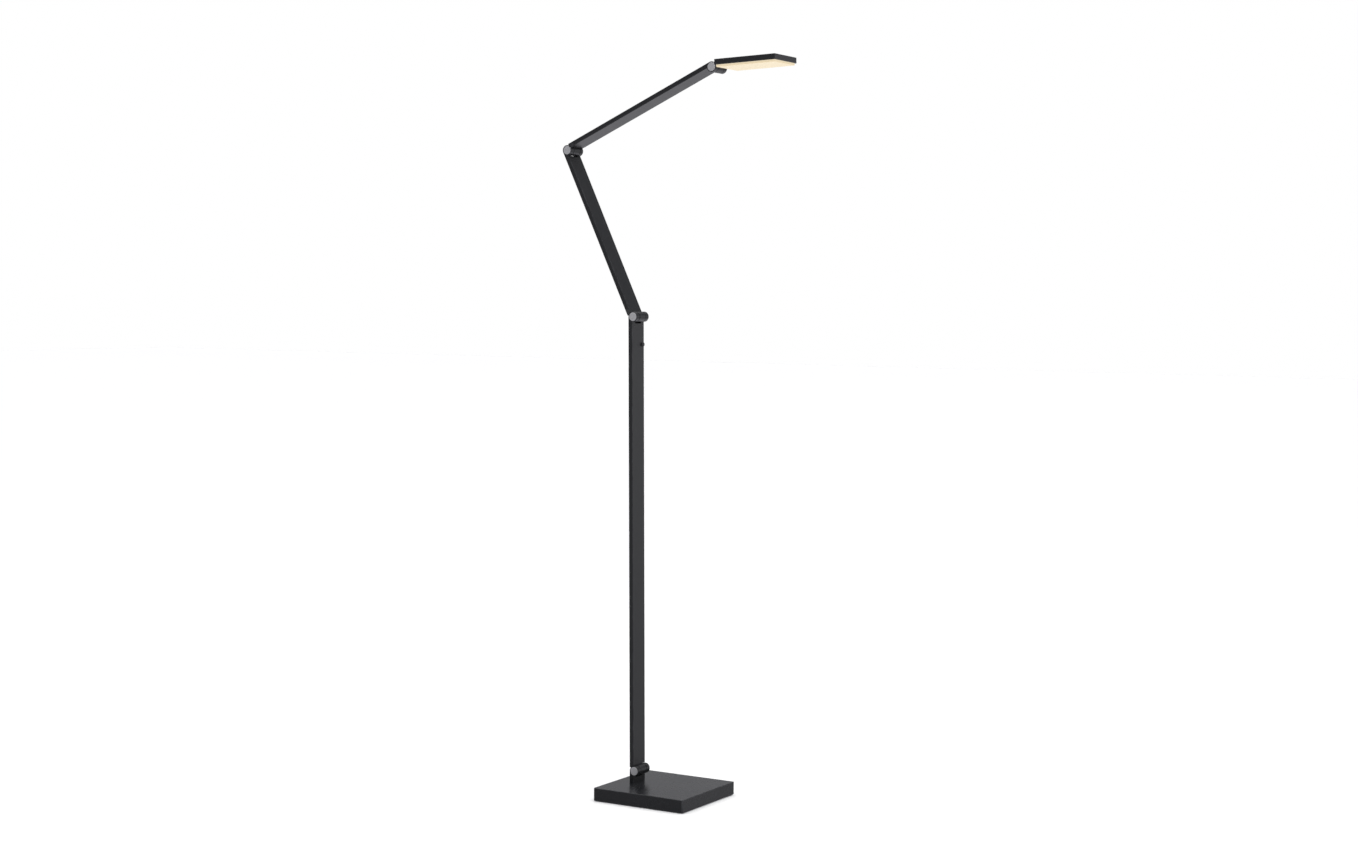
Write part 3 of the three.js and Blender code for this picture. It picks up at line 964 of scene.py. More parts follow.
@dataclass(frozen=True)
class Barrel:
    """The hinge that all four joints share, in mm."""

    radius: float = 11.5
    pin: float = 4.0
    knuckle: float = 11.5
    washer: float = 1.0
    washer_radius: float = 9.6
    washer_edge: float = 0.2
    cap_radius: float = 9.5
    cap_thick: float = 2.0
    cap_edge: float = 0.45
    cap_back_edge: float = 0.2
    cap_rim: float = 1.6
    cap_rim_fall: float = 0.02
    cap_dish: float = 0.12
    head_radius: float = 6.6
    head_thick: float = 3.0
    nut_flats: float = 11.0
    nut_thick: float = 3.6
    slot: float = 3.5
    slot_back: float = 1.8
    slot_back_top: float = 8.0
    heel: float = 8.0
    clearance: float = 0.6
    rim_ease: float = 0.35
    bore_ease: float = 0.3


BAR = Bar()
BARREL = Barrel()
OUT = -BARREL.radius  # X of the bar's outer face
IN = OUT + BAR.thick  # X of its inner face
MID = (OUT + IN) / 2
SLOT_HALF = BAR.half - BARREL.knuckle
CENTRE_HALF = SLOT_HALF - BARREL.washer - 2 * BAR.gap
RECESS = BARREL.cap_thick + BAR.gap
PIN_SEAT = BAR.half - RECESS - max(BARREL.head_thick, BARREL.nut_thick) - BAR.gap
GRUB_AT = BAR.shoulder + BAR.tongue / 2
OVERLAP = 1.0  # of two surfaces that are soldered, in mm
FACE_RING = 0.85 * BARREL.radius  # radius of the ring that carries a knuckle's first face
NUT_SIDES = 72
NUT_CONE = ((0.0, -0.75), (0.3, -0.35), (0.8, 0.0))  # depth from an end, and the cone's reach
SOCKET_MOUTH = 1.08  # of a hexagon socket's width, at its chamfer's top
SOCKET_CHAMFER = 0.04  # depth of the chamfer, as a share of that width


@dataclass(frozen=True)
class Outline:
    """A closed outline in X and Z, anticlockwise seen from -Y.

    Attributes:
        points: The points in order.
        angle: For an outline round a bore, the angle on the bore that each point is joined to.
    """

    points: np.ndarray
    angle: np.ndarray | None = None

    @property
    def outward(self) -> np.ndarray:
        """How far each point moves when both sides that meet at it move out by one.

        It is the sum of the two sides' outward normals over one plus their product.
        """
        side = np.roll(self.points, -1, 0) - self.points
        after = np.stack([side[:, 1], -side[:, 0]], -1)
        after /= np.linalg.norm(after, axis=1, keepdims=True)
        before = np.roll(after, 1, 0)
        return (before + after) / (1 + (before * after).sum(1, keepdims=True))

    def inset(self, amount: float) -> np.ndarray:
        """The outline taken in by an amount."""
        return self.points - self.outward * amount

    def circle(self, radius: float) -> np.ndarray:
        """A circle about the axis, with a point for each of the outline's."""
        return radius * np.stack([np.cos(self.angle), np.sin(self.angle)], -1)


def knuckle_outline(reach: float) -> Outline:
    """A barrel with a web on its +Z side, in one outline round the hinge axis.

    The barrel is the arc from its back, where the bar's outer face touches it, round the front
    to where the bar's inner face meets it. The web's inner face, end and outer face close it.
    The bore's angles follow the barrel's own, and share what is left among the web's points.

    Args:
        reach: How far the web reaches from the axis.

    Returns:
        The outline.
    """
    meet = math.atan2(math.sqrt(BARREL.radius**2 - IN**2), IN)
    arc = np.linspace(np.pi, 2 * np.pi + meet, SIDES)
    barrel = BARREL.radius * np.stack([np.cos(arc), np.sin(arc)], -1)
    rise = np.linspace(barrel[-1, 1], reach, 4)[1:]
    inner = np.stack([np.full(3, IN), rise], -1)
    fall = np.linspace(reach, 0, 7)[:-1]
    outer = np.stack([np.full(6, OUT), fall], -1)
    top = 2 * np.pi + meet
    web = np.interp(np.arange(1, 10), [0, 3, 4, 10], [top, top + 0.16, top + 0.8, 3 * np.pi])
    return Outline(np.vstack([barrel, inner, outer]), np.concatenate([arc, web]))


def heel_outline(reach: float) -> Outline:
    """The end of a bar beside its centre knuckle, hollowed to clear the outer knuckles.

    The hollow is an arc about the hinge axis, one clearance larger than the barrel.
    """
    radius = BARREL.radius + BARREL.clearance
    first = math.pi - math.asin(BARREL.heel / radius)
    arc = np.linspace(first, math.acos(IN / radius), 20)
    hollow = radius * np.stack([np.cos(arc), np.sin(arc)], -1)
    return Outline(np.vstack([[[OUT, BARREL.heel]], hollow, [[IN, reach], [OUT, reach]]]))


def along_y(flat: np.ndarray, y: float) -> np.ndarray:
    """Points in X and Z, set at one Y."""
    return np.stack([flat[:, 0], np.full(len(flat), y), flat[:, 1]], -1)


def quarter(ease: float, steps: int = 4) -> tuple[np.ndarray, np.ndarray]:
    """A rounded edge as insets and drops: the ease times one less cosine, and one less sine."""
    t = np.linspace(0, np.pi / 2, steps + 1)
    return ease * (1 - np.cos(t)), ease * (1 - np.sin(t))


def knuckle(
    outline: Outline,
    y0: float,
    y1: float,
    bore: Sequence[Corner],
    ease0: float,
    ease1: float,
) -> Skin:
    """A length of barrel and web with a stepped bore.

    Rings run out along the outline from y0 to y1 with an eased edge at each end, in over the
    end face to the bore, back through the bore, and out over the first face. The face's rings
    pass a circle just under the barrel's radius, so that no part of a face leaves the outline.

    Args:
        outline: The outline round the axis.
        y0: Where the first face is.
        y1: Where the second face is.
        bore: The bore's corners as radius and Y, from y1 back to y0.
        ease0: How far the first face's edge is eased.
        ease1: The same for the second.

    Returns:
        The closed surface.
    """
    way = 1.0 if y1 > y0 else -1.0
    everywhere = np.ones(len(outline.points))
    rings: list[np.ndarray] = []
    worn: list[np.ndarray] = []
    insets, drops = quarter(ease0)
    for inset, drop in zip(insets[::-1], drops[::-1]):
        rings.append(along_y(outline.inset(inset), y0 + way * drop))
        worn.append(everywhere)
    rings.append(along_y(outline.points, y0 + way * (ease0 + SUPPORT)))
    rings.append(along_y(outline.points, y1 - way * (ease1 + SUPPORT)))
    worn += [0 * everywhere, 0 * everywhere]
    for inset, drop in zip(*quarter(ease1)):
        rings.append(along_y(outline.inset(inset), y1 - way * drop))
        worn.append(everywhere)
    line, rim = eased([*bore, Corner(bore[-1].a, y0)])
    for (radius, y), wear in zip(line, rim):
        rings.append(along_y(outline.circle(radius), y))
        worn.append(wear * everywhere)
    rings.append(along_y(outline.circle(FACE_RING), y0))
    worn.append(0 * everywhere)
    return carried(np.array(rings), np.array(worn), joined=True)


def block(outline: Outline, half: float, ease: float) -> Skin:
    """An outline carried along Y from minus half to plus half, with eased ends."""
    rings: list[np.ndarray] = []
    worn: list[float] = []
    for side in (-1, 1):
        insets, drops = quarter(ease)
        end = [(i, half - d, 1.0) for i, d in zip(insets, drops)]
        steps = [(0.0, half - ease - SUPPORT, 0.0), *end]
        for inset, y, wear in steps if side > 0 else reversed(steps):
            rings.append(along_y(outline.inset(inset), side * y))
            worn.append(wear)
    grid = np.array(rings)
    edge = np.broadcast_to(np.array(worn)[:, None], grid.shape[:2])
    return carried(grid, edge)


def soldered(skins: Sequence[Skin], cuts: Sequence[Skin] = ()) -> Skin:
    """Overlapping surfaces joined into one closed surface, and others cut out of it.

    The wear and turning of each corner are kept, and a corner that the joining makes has none.

    Args:
        skins: Closed surfaces, each of which overlaps one before it.
        cuts: Closed surfaces to take away.

    Returns:
        The one closed surface that is left.
    """
    steps = [("UNION", skin) for skin in skins[1:]] + [("DIFFERENCE", cut) for cut in cuts]
    objects = [loose_object(skin) for skin in (skins[0], *(skin for _, skin in steps))]
    for tool, (operation, _) in zip(objects[1:], steps):
        joint = objects[0].modifiers.new("joint", "BOOLEAN")
        joint.object = tool
        joint.operation = operation
        joint.solver = "MANIFOLD"
    bpy.context.view_layer.update()
    made = objects[0].evaluated_get(bpy.context.evaluated_depsgraph_get()).to_mesh()
    points = np.empty(3 * len(made.vertices))
    made.vertices.foreach_get("co", points)
    fields = []
    for name in ("edge", "turning"):
        values = np.zeros(len(made.vertices))
        if name in made.attributes:
            made.attributes[name].data.foreach_get("value", values)
        fields.append(values)
    result = Skin(points.reshape(-1, 3), [tuple(p.vertices) for p in made.polygons], *fields)
    objects[0].to_mesh_clear()
    for item in objects:
        mesh = item.data
        bpy.data.objects.remove(item)
        bpy.data.meshes.remove(mesh)
    return result


def mesh_of(name: str, points: np.ndarray, skin: Skin) -> bpy.types.Mesh:
    """A Blender mesh with a surface's faces and fields, at the given points."""
    mesh = bpy.data.meshes.new(name)
    mesh.from_pydata(points.tolist(), [], skin.faces)
    for field_name, values in (("edge", skin.edge), ("turning", skin.turning)):
        data = mesh.attributes.new(field_name, "FLOAT", "POINT").data
        data.foreach_set("value", values.astype(np.float32))
    return mesh


def loose_object(skin: Skin) -> bpy.types.Object:
    """A helper object that holds a surface in millimetres while it is joined."""
    item = bpy.data.objects.new("joining", mesh_of("joining", skin.points, skin))
    bpy.context.scene.collection.objects.link(item)
    return item


def cuboid(
    x: tuple[float, float], y: tuple[float, float], z: tuple[float, float], ease: float = 0.2
) -> Skin:
    """A block between two corners, with eased edges, as a slab standing along Z."""
    half_x, half_y = (x[1] - x[0]) / 2, (y[1] - y[0]) / 2
    inner = 2 * ease
    low, high = z
    profile = [Corner(inner, low), Corner(0, low, ease), Corner(0, high, ease), Corner(inner, high)]
    made = slab(half_x, half_y, ease, profile)
    return made.moved((x[0] + x[1]) / 2, (y[0] + y[1]) / 2)


def tongue(z0: float, z1: float) -> Skin:
    """The part of an end fitting that goes into its tube."""
    room = BAR.wall + BAR.gap
    half = BAR.half - room
    return cuboid((OUT + room, IN - room), (-half, half), (z0, z1), BAR.tongue_edge)


def flipped(points: np.ndarray) -> np.ndarray:
    """The same points with Z turned over."""
    return points * np.array([1.0, 1.0, -1.0])


def mirrored(points: np.ndarray) -> np.ndarray:
    """The same points with Y turned over."""
    return points * np.array([1.0, -1.0, 1.0])


def y_to_minus_x(points: np.ndarray) -> np.ndarray:
    """Turns a piece made about +Y so that its top looks along -X."""
    return np.stack([-points[:, 1], points[:, 0], points[:, 2]], -1)


def y_to_x(points: np.ndarray) -> np.ndarray:
    """Turns a piece made about +Y so that its top looks along +X."""
    return np.stack([points[:, 1], -points[:, 0], points[:, 2]], -1)


def y_to_minus_z(points: np.ndarray) -> np.ndarray:
    """Turns a piece made about +Y so that its top looks along -Z."""
    return np.stack([points[:, 0], points[:, 2], -points[:, 1]], -1)


def z_to_x(points: np.ndarray) -> np.ndarray:
    """Turns a piece made along +Z so that it lies along +X."""
    return np.stack([points[:, 2], points[:, 1], -points[:, 0]], -1)


def outer_knuckles(reach: float) -> list[Skin]:
    """Two outer knuckles, the web that joins them below the slot, and the wall behind the slot.

    The web is the bar's own section, so the knuckles' webs end inside it, flush with its faces.

    Args:
        reach: How far the web reaches below the axis.

    Returns:
        The knuckles, the web and the wall.
    """
    clear = BARREL.radius + BARREL.slot
    outline = knuckle_outline(clear + 2)
    around_cap, around_head = BARREL.cap_radius + BAR.gap, BARREL.head_radius + 2 * BAR.gap
    bore = [
        Corner(around_cap + BARREL.bore_ease, BAR.half),
        Corner(around_cap, BAR.half - BARREL.bore_ease),
        Corner(around_cap, BAR.half - RECESS),
        Corner(around_head, BAR.half - RECESS),
        Corner(around_head, PIN_SEAT),
        Corner(BARREL.pin + BAR.gap, PIN_SEAT),
    ]
    right = knuckle(outline, SLOT_HALF, BAR.half, bore, BARREL.rim_ease, BAR.corner)
    right = right.mapped(flipped)
    left = right.mapped(mirrored)
    section = [Corner(1, -reach), Corner(0, -reach, BAR.end_ease), Corner(0, -clear)]
    web = slab(BAR.thick / 2, BAR.half, BAR.corner, section)
    side = SLOT_HALF + OVERLAP
    back = (OUT, OUT + BARREL.slot_back)
    wall = cuboid(back, (-side, side), (-clear - OVERLAP, -BARREL.slot_back_top))
    return [web.moved(x=MID), right, left, wall]


def centre_knuckle(reach: float) -> Skin:
    """The centre knuckle with its web on the +Z side, just inside the bar's faces."""
    outline = knuckle_outline(reach)
    bore = [Corner(BARREL.pin + BAR.gap, CENTRE_HALF)]
    return knuckle(outline, -CENTRE_HALF, CENTRE_HALF, bore, BARREL.rim_ease, BARREL.rim_ease)


class HingeSet:
    """The loose pieces of one hinge: axle, nut, washers and end caps."""

    def __init__(self, name: str, place: Place, body: str) -> None:
        """Args:
        name: The hinge's name, which its nodes start with.
        place: A frame on the hinge's axis.
        body: The body that holds the axle.
        """
        self.name = name
        self.place = place
        self.body = body

    def cap(self) -> Skin:
        """An end cap: a disc with an eased rim and a face that is dished by a hair."""
        r, outer, inner = BARREL.cap_radius, BAR.half, BAR.half - BARREL.cap_thick
        return turned(
            [
                Corner(1, inner),
                Corner(r, inner, BARREL.cap_back_edge),
                Corner(r, outer, BARREL.cap_edge),
                Corner(r - BARREL.cap_rim, outer - BARREL.cap_rim_fall),
                Corner(0.4, outer - BARREL.cap_dish),
            ]
        )

    def axle(self) -> Skin:
        """The headed axle, its end chamfered."""
        foot = -PIN_SEAT - BAR.gap
        tip = PIN_SEAT + BARREL.nut_thick
        return turned(
            [
                Corner(0.5, foot - BARREL.head_thick),
                Corner(BARREL.head_radius, foot - BARREL.head_thick, 0.5),
                Corner(BARREL.head_radius, foot, 0.2),
                Corner(BARREL.pin, foot),
                Corner(BARREL.pin, tip, 0.5),
                Corner(0.5, tip),
            ],
            48,
        )

    def nut(self) -> Skin:
        """A hexagon nut, its corners turned off by a cone at both ends.

        At each height the rim is the lesser of the hexagon's radius and the cone's.
        """
        start = PIN_SEAT + BAR.gap
        angle = np.linspace(0, 2 * np.pi, NUT_SIDES, endpoint=False)
        flat = polygon_radius(angle, BARREL.nut_flats)
        corner = BARREL.nut_flats / math.sqrt(3)
        top = BARREL.nut_thick
        rows = [*NUT_CONE, *((top - z, cone) for z, cone in reversed(NUT_CONE))]
        outer = np.array([np.minimum(flat, corner + cone) for _, cone in rows])
        radius = np.vstack([outer, np.full((2, NUT_SIDES), BARREL.pin + BAR.gap)])
        height = np.array([*(z for z, _ in rows), top, 0.0]) + start
        rings = about_y(radius, height[:, None], angle)
        return carried(rings, np.zeros(radius.shape), joined=True, turning=radius)

    def washer(self) -> Skin:
        """A friction washer, its rim eased."""
        near, far = CENTRE_HALF + BAR.gap, CENTRE_HALF + BAR.gap + BARREL.washer
        bore = BARREL.pin + BAR.gap
        corners = [
            Corner(bore, near),
            Corner(BARREL.washer_radius, near, BARREL.washer_edge),
            Corner(BARREL.washer_radius, far, BARREL.washer_edge),
            Corner(bore, far),
        ]
        return turned(corners, 64, closed=True)

    def build(self, shop: Workshop) -> None:
        """Makes the six pieces."""
        shop.make(f"{self.name}_axle", self.axle(), self.place, Slot.STEEL, self.body)
        shop.make(f"{self.name}_nut", self.nut(), self.place, Slot.STEEL, self.body)
        for side, rule in (("right", None), ("left", mirrored)):
            for part, skin, slot in (
                ("friction_washer", self.washer(), Slot.WASHER),
                ("end_cap", self.cap(), Slot.END_CAP),
            ):
                skin = skin.mapped(rule) if rule else skin
                shop.make(f"{self.name}_{part}_{side}", skin, self.place, slot, self.body)


def hex_socket_screw(profile: Sequence[Corner], socket: float, floor: float, top: float) -> Skin:
    """A turned screw with a hexagon socket in its top.

    The rings run up the outside, in over the head to the socket's mouth, whose distance from
    the axis follows a hexagon, and down to its floor.

    Args:
        profile: The outside's corners as radius and Y, from the tip to the head's rim.
        socket: Width of the socket across its flats.
        floor: Y of the socket's floor.
        top: Y of the head's top.

    Returns:
        The closed surface, turned about Y.
    """
    sides = 48
    angle = np.linspace(0, 2 * np.pi, sides, endpoint=False)
    line, worn = eased(profile)
    hexagon = polygon_radius(angle, socket)
    mouth = SOCKET_MOUTH * hexagon
    radius = np.vstack([np.tile(line[:, :1], (1, sides)), mouth, hexagon, hexagon])
    chamfer = SOCKET_CHAMFER * socket * (1 if top > floor else -1)
    height = np.concatenate([line[:, 1], [top, top - chamfer, floor]])
    wear = np.broadcast_to(np.concatenate([worn, [0, 0, 0]])[:, None], radius.shape)
    return carried(about_y(radius, height[:, None], angle), wear, turning=radius)


def grub_hole(z: float) -> Skin:
    """The hole that a grub screw runs in, from behind the bar."""
    hole = [Corner(0.5, -OUT + 1), Corner(BAR.grub + BAR.gap, -OUT + 1)]
    depth = -OUT - BAR.grub_length - BAR.gap
    made = turned([*hole, Corner(BAR.grub + BAR.gap, depth), Corner(0.5, depth)], HOLE_SIDES)
    return made.mapped(y_to_minus_x).moved(z=z)


class Link:
    """One bar with its two end fittings and their grub screws."""

    def __init__(self, name: str, place: Place, length: float, body: str) -> None:
        """Args:
        name: The link's name, which its nodes start with.
        place: The link's own frame, at its lower hinge.
        length: From hinge axis to hinge axis.
        body: The body that its pieces ride on.
        """
        self.name = name
        self.place = place
        self.length = length
        self.body = body

    def holes(self) -> list[tuple[Mark, float, float]]:
        """The holes in the tube's side walls: a grub screw's near each end of the outer face."""
        radius = BAR.grub + BAR.gap
        back = Mark(2, 0.0)
        return [(back, z, radius) for z in (GRUB_AT, self.length - GRUB_AT)]

    def tube(self) -> Skin:
        """The hollow bar: its wall's section carried round the rounded rectangle.

        The profile runs up the outside and down the inside, with a point above and below each
        hole on both, so that the hole fills one cell of the grid.
        """
        z0, z1 = BAR.shoulder, self.length - BAR.shoulder
        stops = sorted(z + way * (r + CELL_MARGIN) for _, z, r in self.holes() for way in (-1, 1))
        e = BAR.end_ease
        up = [(z0, e), *((z, 0.0) for z in stops), (z1, e)]
        wall = [Corner(0, z, ease) for z, ease in up]
        wall += [Corner(BAR.wall, z, ease) for z, ease in reversed(up)]
        made = slab(BAR.thick / 2, BAR.half, BAR.corner, wall, closed=True, holes=self.holes())
        return made.moved(x=MID)

    def lower_fitting(self) -> Skin:
        """The end with one centre knuckle, between two hollowed heels."""
        heel = block(heel_outline(BAR.shoulder), BAR.half, BAR.corner)
        root = tongue(BAR.shoulder - 1, BAR.shoulder + BAR.tongue)
        return soldered([heel, centre_knuckle(BARREL.radius + 3), root], [grub_hole(GRUB_AT)])

    def upper_fitting(self) -> Skin:
        """The end with two outer knuckles and a slot between them."""
        root = tongue(-BAR.shoulder - BAR.tongue, 1 - BAR.shoulder)
        made = soldered([*outer_knuckles(BAR.shoulder), root], [grub_hole(-GRUB_AT)])
        return made.moved(z=self.length)

    def grub(self, z: float) -> Skin:
        """A grub screw with a hexagon socket, sunk just below the outer face."""
        top = -OUT - BAR.gap / 2
        tip = top - BAR.grub_length + BAR.gap
        profile = [
            Corner(0.6, tip),
            Corner(BAR.grub, tip, BAR.grub_tip),
            Corner(BAR.grub, top, BAR.end_ease),
            Corner(1.5, top),
        ]
        made = hex_socket_screw(profile, BAR.grub_socket, top - BAR.grub_socket_depth, top)
        return made.mapped(y_to_minus_x).moved(z=z)

    def build(self, shop: Workshop) -> None:
        """Makes the link's five pieces."""
        rows = (
            ("tube", self.tube(), Slot.LINK_PAINT),
            ("lower_fitting", self.lower_fitting(), Slot.LINK_PAINT),
            ("upper_fitting", self.upper_fitting(), Slot.LINK_PAINT),
            ("lower_grub_screw", self.grub(GRUB_AT), Slot.STEEL),
            ("upper_grub_screw", self.grub(self.length - GRUB_AT), Slot.STEEL),
        )
        for part, skin, slot in rows:
            shop.make(f"{self.name}_{part}", skin, self.place, slot, self.body)


@dataclass(frozen=True)
class ButtonSizes:
    """The dimmer button and the switch behind it, in mm."""

    radius: float = 4.5
    proud: float = 3.6
    flange: float = 1.0
    flange_radius: float = 5.1
    drop: float = 62.0
    aside: float = 18.0
    switch_side: float = 6.0
    board: float = 1.0
    board_width: float = 16.0
    board_length: float = 18.0
    board_past: float = 5.0
    board_edge: float = 0.1
    stem: float = 1.6
    stem_proud: float = 0.7
    stem_root: float = 0.4
    travel: float = 1.5
    flange_edge: float = 0.2
    edge: float = 0.6
    dish_rim: float = 1.3
    dish_fall: float = 0.28
    dish: float = 0.42


class Column(Link):
    """The column: a link with the dimmer button near its top."""

    def __init__(self, place: Place, length: float) -> None:
        """Args:
        place: The column's own frame, at the base hinge.
        length: From hinge axis to hinge axis.
        """
        super().__init__("column", place, length, "column")
        self.sizes = ButtonSizes()

    @property
    def button_z(self) -> float:
        """Height of the button in the column's frame."""
        return self.length - self.sizes.drop

    def holes(self) -> list[tuple[Mark, float, float]]:
        """The grub screws' holes, and the button's in the inner face."""
        front = Mark(0, self.sizes.aside)
        return [*super().holes(), (front, self.button_z, self.sizes.radius + BAR.gap)]

    def button(self) -> Skin:
        """The round button: a straight side, an eased rim and a finger dish in its face."""
        s = self.sizes
        seat, tip = IN - BAR.wall - BAR.gap, IN + s.proud
        profile = [
            Corner(0.8, seat - s.flange),
            Corner(s.flange_radius, seat - s.flange, s.flange_edge),
            Corner(s.flange_radius, seat, s.flange_edge),
            Corner(s.radius, seat),
            Corner(s.radius, tip, s.edge),
            Corner(s.radius - s.dish_rim, tip),
            Corner(s.radius - 2 * s.dish_rim, tip - s.dish_fall),
            Corner(0.4, tip - s.dish),
        ]
        return turned(profile, 72).mapped(y_to_x).moved(y=s.aside, z=self.button_z)

    def switch(self) -> Skin:
        """The switch: a moulded block with a round stem towards the button."""
        s = self.sizes
        foot = OUT + BAR.wall + BAR.gap + s.board + BAR.gap
        stem_top = IN - BAR.wall - BAR.gap - s.flange - s.travel - BAR.gap
        shoulder = stem_top - s.stem_proud
        half = s.switch_side / 2
        body = cuboid((foot, shoulder), (-half, half), (-half, half), 0.25)
        root = shoulder - s.stem_root
        profile = [
            Corner(0.3, root),
            Corner(s.stem, root),
            Corner(s.stem, stem_top, 0.2),
            Corner(0.3, stem_top),
        ]
        stem = turned(profile, 32)
        return together([body, stem.mapped(y_to_x)]).moved(y=s.aside, z=self.button_z)

    def board(self) -> Skin:
        """The switch's narrow board, against the tube's back wall."""
        s = self.sizes
        back = OUT + BAR.wall + BAR.gap
        side = s.aside + s.board_past
        tall = (self.button_z - s.board_length / 2, self.button_z + s.board_length / 2)
        return cuboid((back, back + s.board), (side - s.board_width, side), tall, s.board_edge)

    def build(self, shop: Workshop) -> None:
        """Makes the link's pieces and the button, switch and board."""
        super().build(shop)
        name = "dimmer_button"
        button = shop.make(name, self.button(), self.place, Slot.LINK_PAINT, name)
        # The button takes a paler copy of the coat, painted lighter to offset the shade on its side
        # wall.
        button.data.materials[0] = LIGHTENED_BUTTON_COAT.build()
        shop.make("dimmer_switch", self.switch(), self.place, Slot.BLACK_PLASTIC, self.body)
        shop.make("dimmer_switch_board", self.board(), self.place, Slot.SWITCH_BOARD, self.body)


# ------------------------------------------------------------------------------------------
# base and head
# ------------------------------------------------------------------------------------------


@dataclass(frozen=True)
class BaseSizes:
    """The base, in mm."""

    length: float = 230.0
    height: float = 30.0
    wall: float = 2.5
    corner: float = 2.5
    edge: float = 1.0
    pad_inset: float = 5.0
    pad: float = 1.2
    pad_corner: float = 3.0
    screw: float = 3.0
    screw_head: float = 5.0
    screw_head_thick: float = 5.0
    screw_spread: float = 30.0
    screw_bite: float = 9.0
    screw_tip: float = 0.6
    screw_edge: float = 0.5
    screw_socket: float = 5.0
    screw_socket_depth: float = 2.5
    inlet: float = 4.0
    inlet_length: float = 12.0
    inlet_flange: float = 1.6
    inlet_flange_thick: float = 1.2
    inlet_bore: float = 2.75
    inlet_depth: float = 9.0
    contact: float = 0.9
    contact_back: float = 1.0
    weight_corner: float = 3.0
    weight_edge: float = 1.0
    weight_draft: float = 0.2
    weight_room: float = 2.0
    pad_edge: float = 0.3


class Base:
    """The weighted base with its post and power socket."""

    BODY = "base"

    def __init__(self, pivot: tuple[float, float]) -> None:
        """Args:
        pivot: X and Z of the base hinge's axis.
        """
        self.pivot = Place(*pivot)
        self.sizes = BaseSizes()
        self.floor = Place(0, 0)

    @property
    def foot(self) -> float:
        """Lowest height of the cover and the weight."""
        return self.sizes.pad + BAR.gap

    @property
    def inlet_z(self) -> float:
        """Height of the socket's middle."""
        return (self.foot + self.sizes.height - self.sizes.wall) / 2

    def pad(self) -> Skin:
        """The non-slip pad: a thin slab with eased edges."""
        s = self.sizes
        half = s.length / 2 - s.pad_inset
        edge = s.pad_edge
        profile = [Corner(10, 0), Corner(0, 0, edge), Corner(0, s.pad, edge), Corner(10, s.pad)]
        return slab(half, half, s.pad_corner, profile)

    def cover(self) -> Skin:
        """The cover: up the inside of its skirt, over the eased top, open below.

        The profile starts under the ceiling, goes down the skirt's inside, under its foot, up
        its outside, and over the top edge.
        """
        s = self.sizes
        half = s.length / 2
        hole = s.inlet + BAR.gap
        reach = hole + CELL_MARGIN
        low, high = self.inlet_z - reach, self.inlet_z + reach
        profile = [
            Corner(s.wall + 12, s.height - s.wall),
            Corner(s.wall, s.height - s.wall, 0.5),
            Corner(s.wall, high),
            Corner(s.wall, low),
            Corner(s.wall, self.foot, 0.3),
            Corner(0, self.foot, 0.5),
            Corner(0, low),
            Corner(0, high),
            Corner(0, s.height, s.edge),
            Corner(14, s.height),
        ]
        return slab(half, half, s.corner, profile, holes=[(Mark(2, 0.0), self.inlet_z, hole)])

    def weight(self) -> Skin:
        """The cast weight: a slab with drafted, eased edges, seen only with the pad off."""
        s = self.sizes
        half = s.length / 2 - s.wall - BAR.gap
        top = s.height - s.wall - BAR.gap
        notch = s.inlet_length + s.weight_room - s.wall
        profile = [
            Corner(12, self.foot),
            Corner(0, self.foot, s.weight_edge),
            Corner(s.weight_draft, top, s.weight_edge),
            Corner(12, top),
        ]
        body = slab(half - notch / 2, half, s.weight_corner, profile)
        return body.moved(x=notch / 2)

    def post(self) -> Skin:
        """The post: the bar's section, standing on the base, with the two outer knuckles."""
        reach = self.pivot.z - self.sizes.height
        return soldered(outer_knuckles(reach))

    def post_screw(self, side: int) -> Skin:
        """A socket-head screw that comes up through weight and cover into the post."""
        s = self.sizes
        foot = self.foot + BAR.gap
        top = s.height + BAR.gap + s.screw_bite
        shoulder = foot + s.screw_head_thick
        profile = [
            Corner(0.8, -top),
            Corner(s.screw, -top, s.screw_tip),
            Corner(s.screw, -shoulder),
            Corner(s.screw_head, -shoulder, 0.15),
            Corner(s.screw_head, -foot, s.screw_edge),
            Corner(3.6, -foot),
        ]
        made = hex_socket_screw(profile, s.screw_socket, -foot - s.screw_socket_depth, -foot)
        place = (self.pivot.x + MID, side * s.screw_spread / 2)
        return made.mapped(y_to_minus_z).moved(*place)

    def inlet(self) -> Skin:
        """The power socket: a stepped barrel with a bore, and the contact pin inside it."""
        s = self.sizes
        rear = s.length / 2
        seat = rear - s.wall - BAR.gap
        end, floor = rear - s.inlet_length, rear - s.inlet_depth
        flange, behind = s.inlet + s.inlet_flange, seat - s.inlet_flange_thick
        barrel = [
            Corner(0.6, end),
            Corner(s.inlet, end, 0.3),
            Corner(s.inlet, behind),
            Corner(flange, behind, 0.15),
            Corner(flange, seat, 0.15),
            Corner(s.inlet, seat),
            Corner(s.inlet, rear, 0.25),
            Corner(s.inlet_bore, rear, 0.25),
            Corner(s.inlet_bore, floor),
            Corner(0.5, floor),
        ]
        root, tip = floor - OVERLAP, rear - s.contact_back
        pin = [
            Corner(0.2, root),
            Corner(s.contact, root),
            Corner(s.contact, tip, 0.3),
            Corner(0.2, tip),
        ]
        both = together([turned(barrel, 48), turned(pin, 24)])
        return both.mapped(y_to_minus_x).moved(z=self.inlet_z)

    def build(self, shop: Workshop) -> None:
        """Makes the base's pieces."""
        floor = self.floor
        rows = (
            ("base_pad", self.pad(), floor, Slot.PAD),
            ("base_cover", self.cover(), floor, Slot.BASE_PAINT),
            ("base_weight", self.weight(), floor, Slot.WEIGHT),
            ("base_post", self.post(), self.pivot, Slot.BASE_PAINT),
            ("post_screw_left", self.post_screw(-1), floor, Slot.STEEL),
            ("post_screw_right", self.post_screw(1), floor, Slot.STEEL),
            ("power_inlet", self.inlet(), floor, Slot.BLACK_PLASTIC),
        )
        for node, skin, place, slot in rows:
            shop.make(node, skin, place, slot, self.BODY)


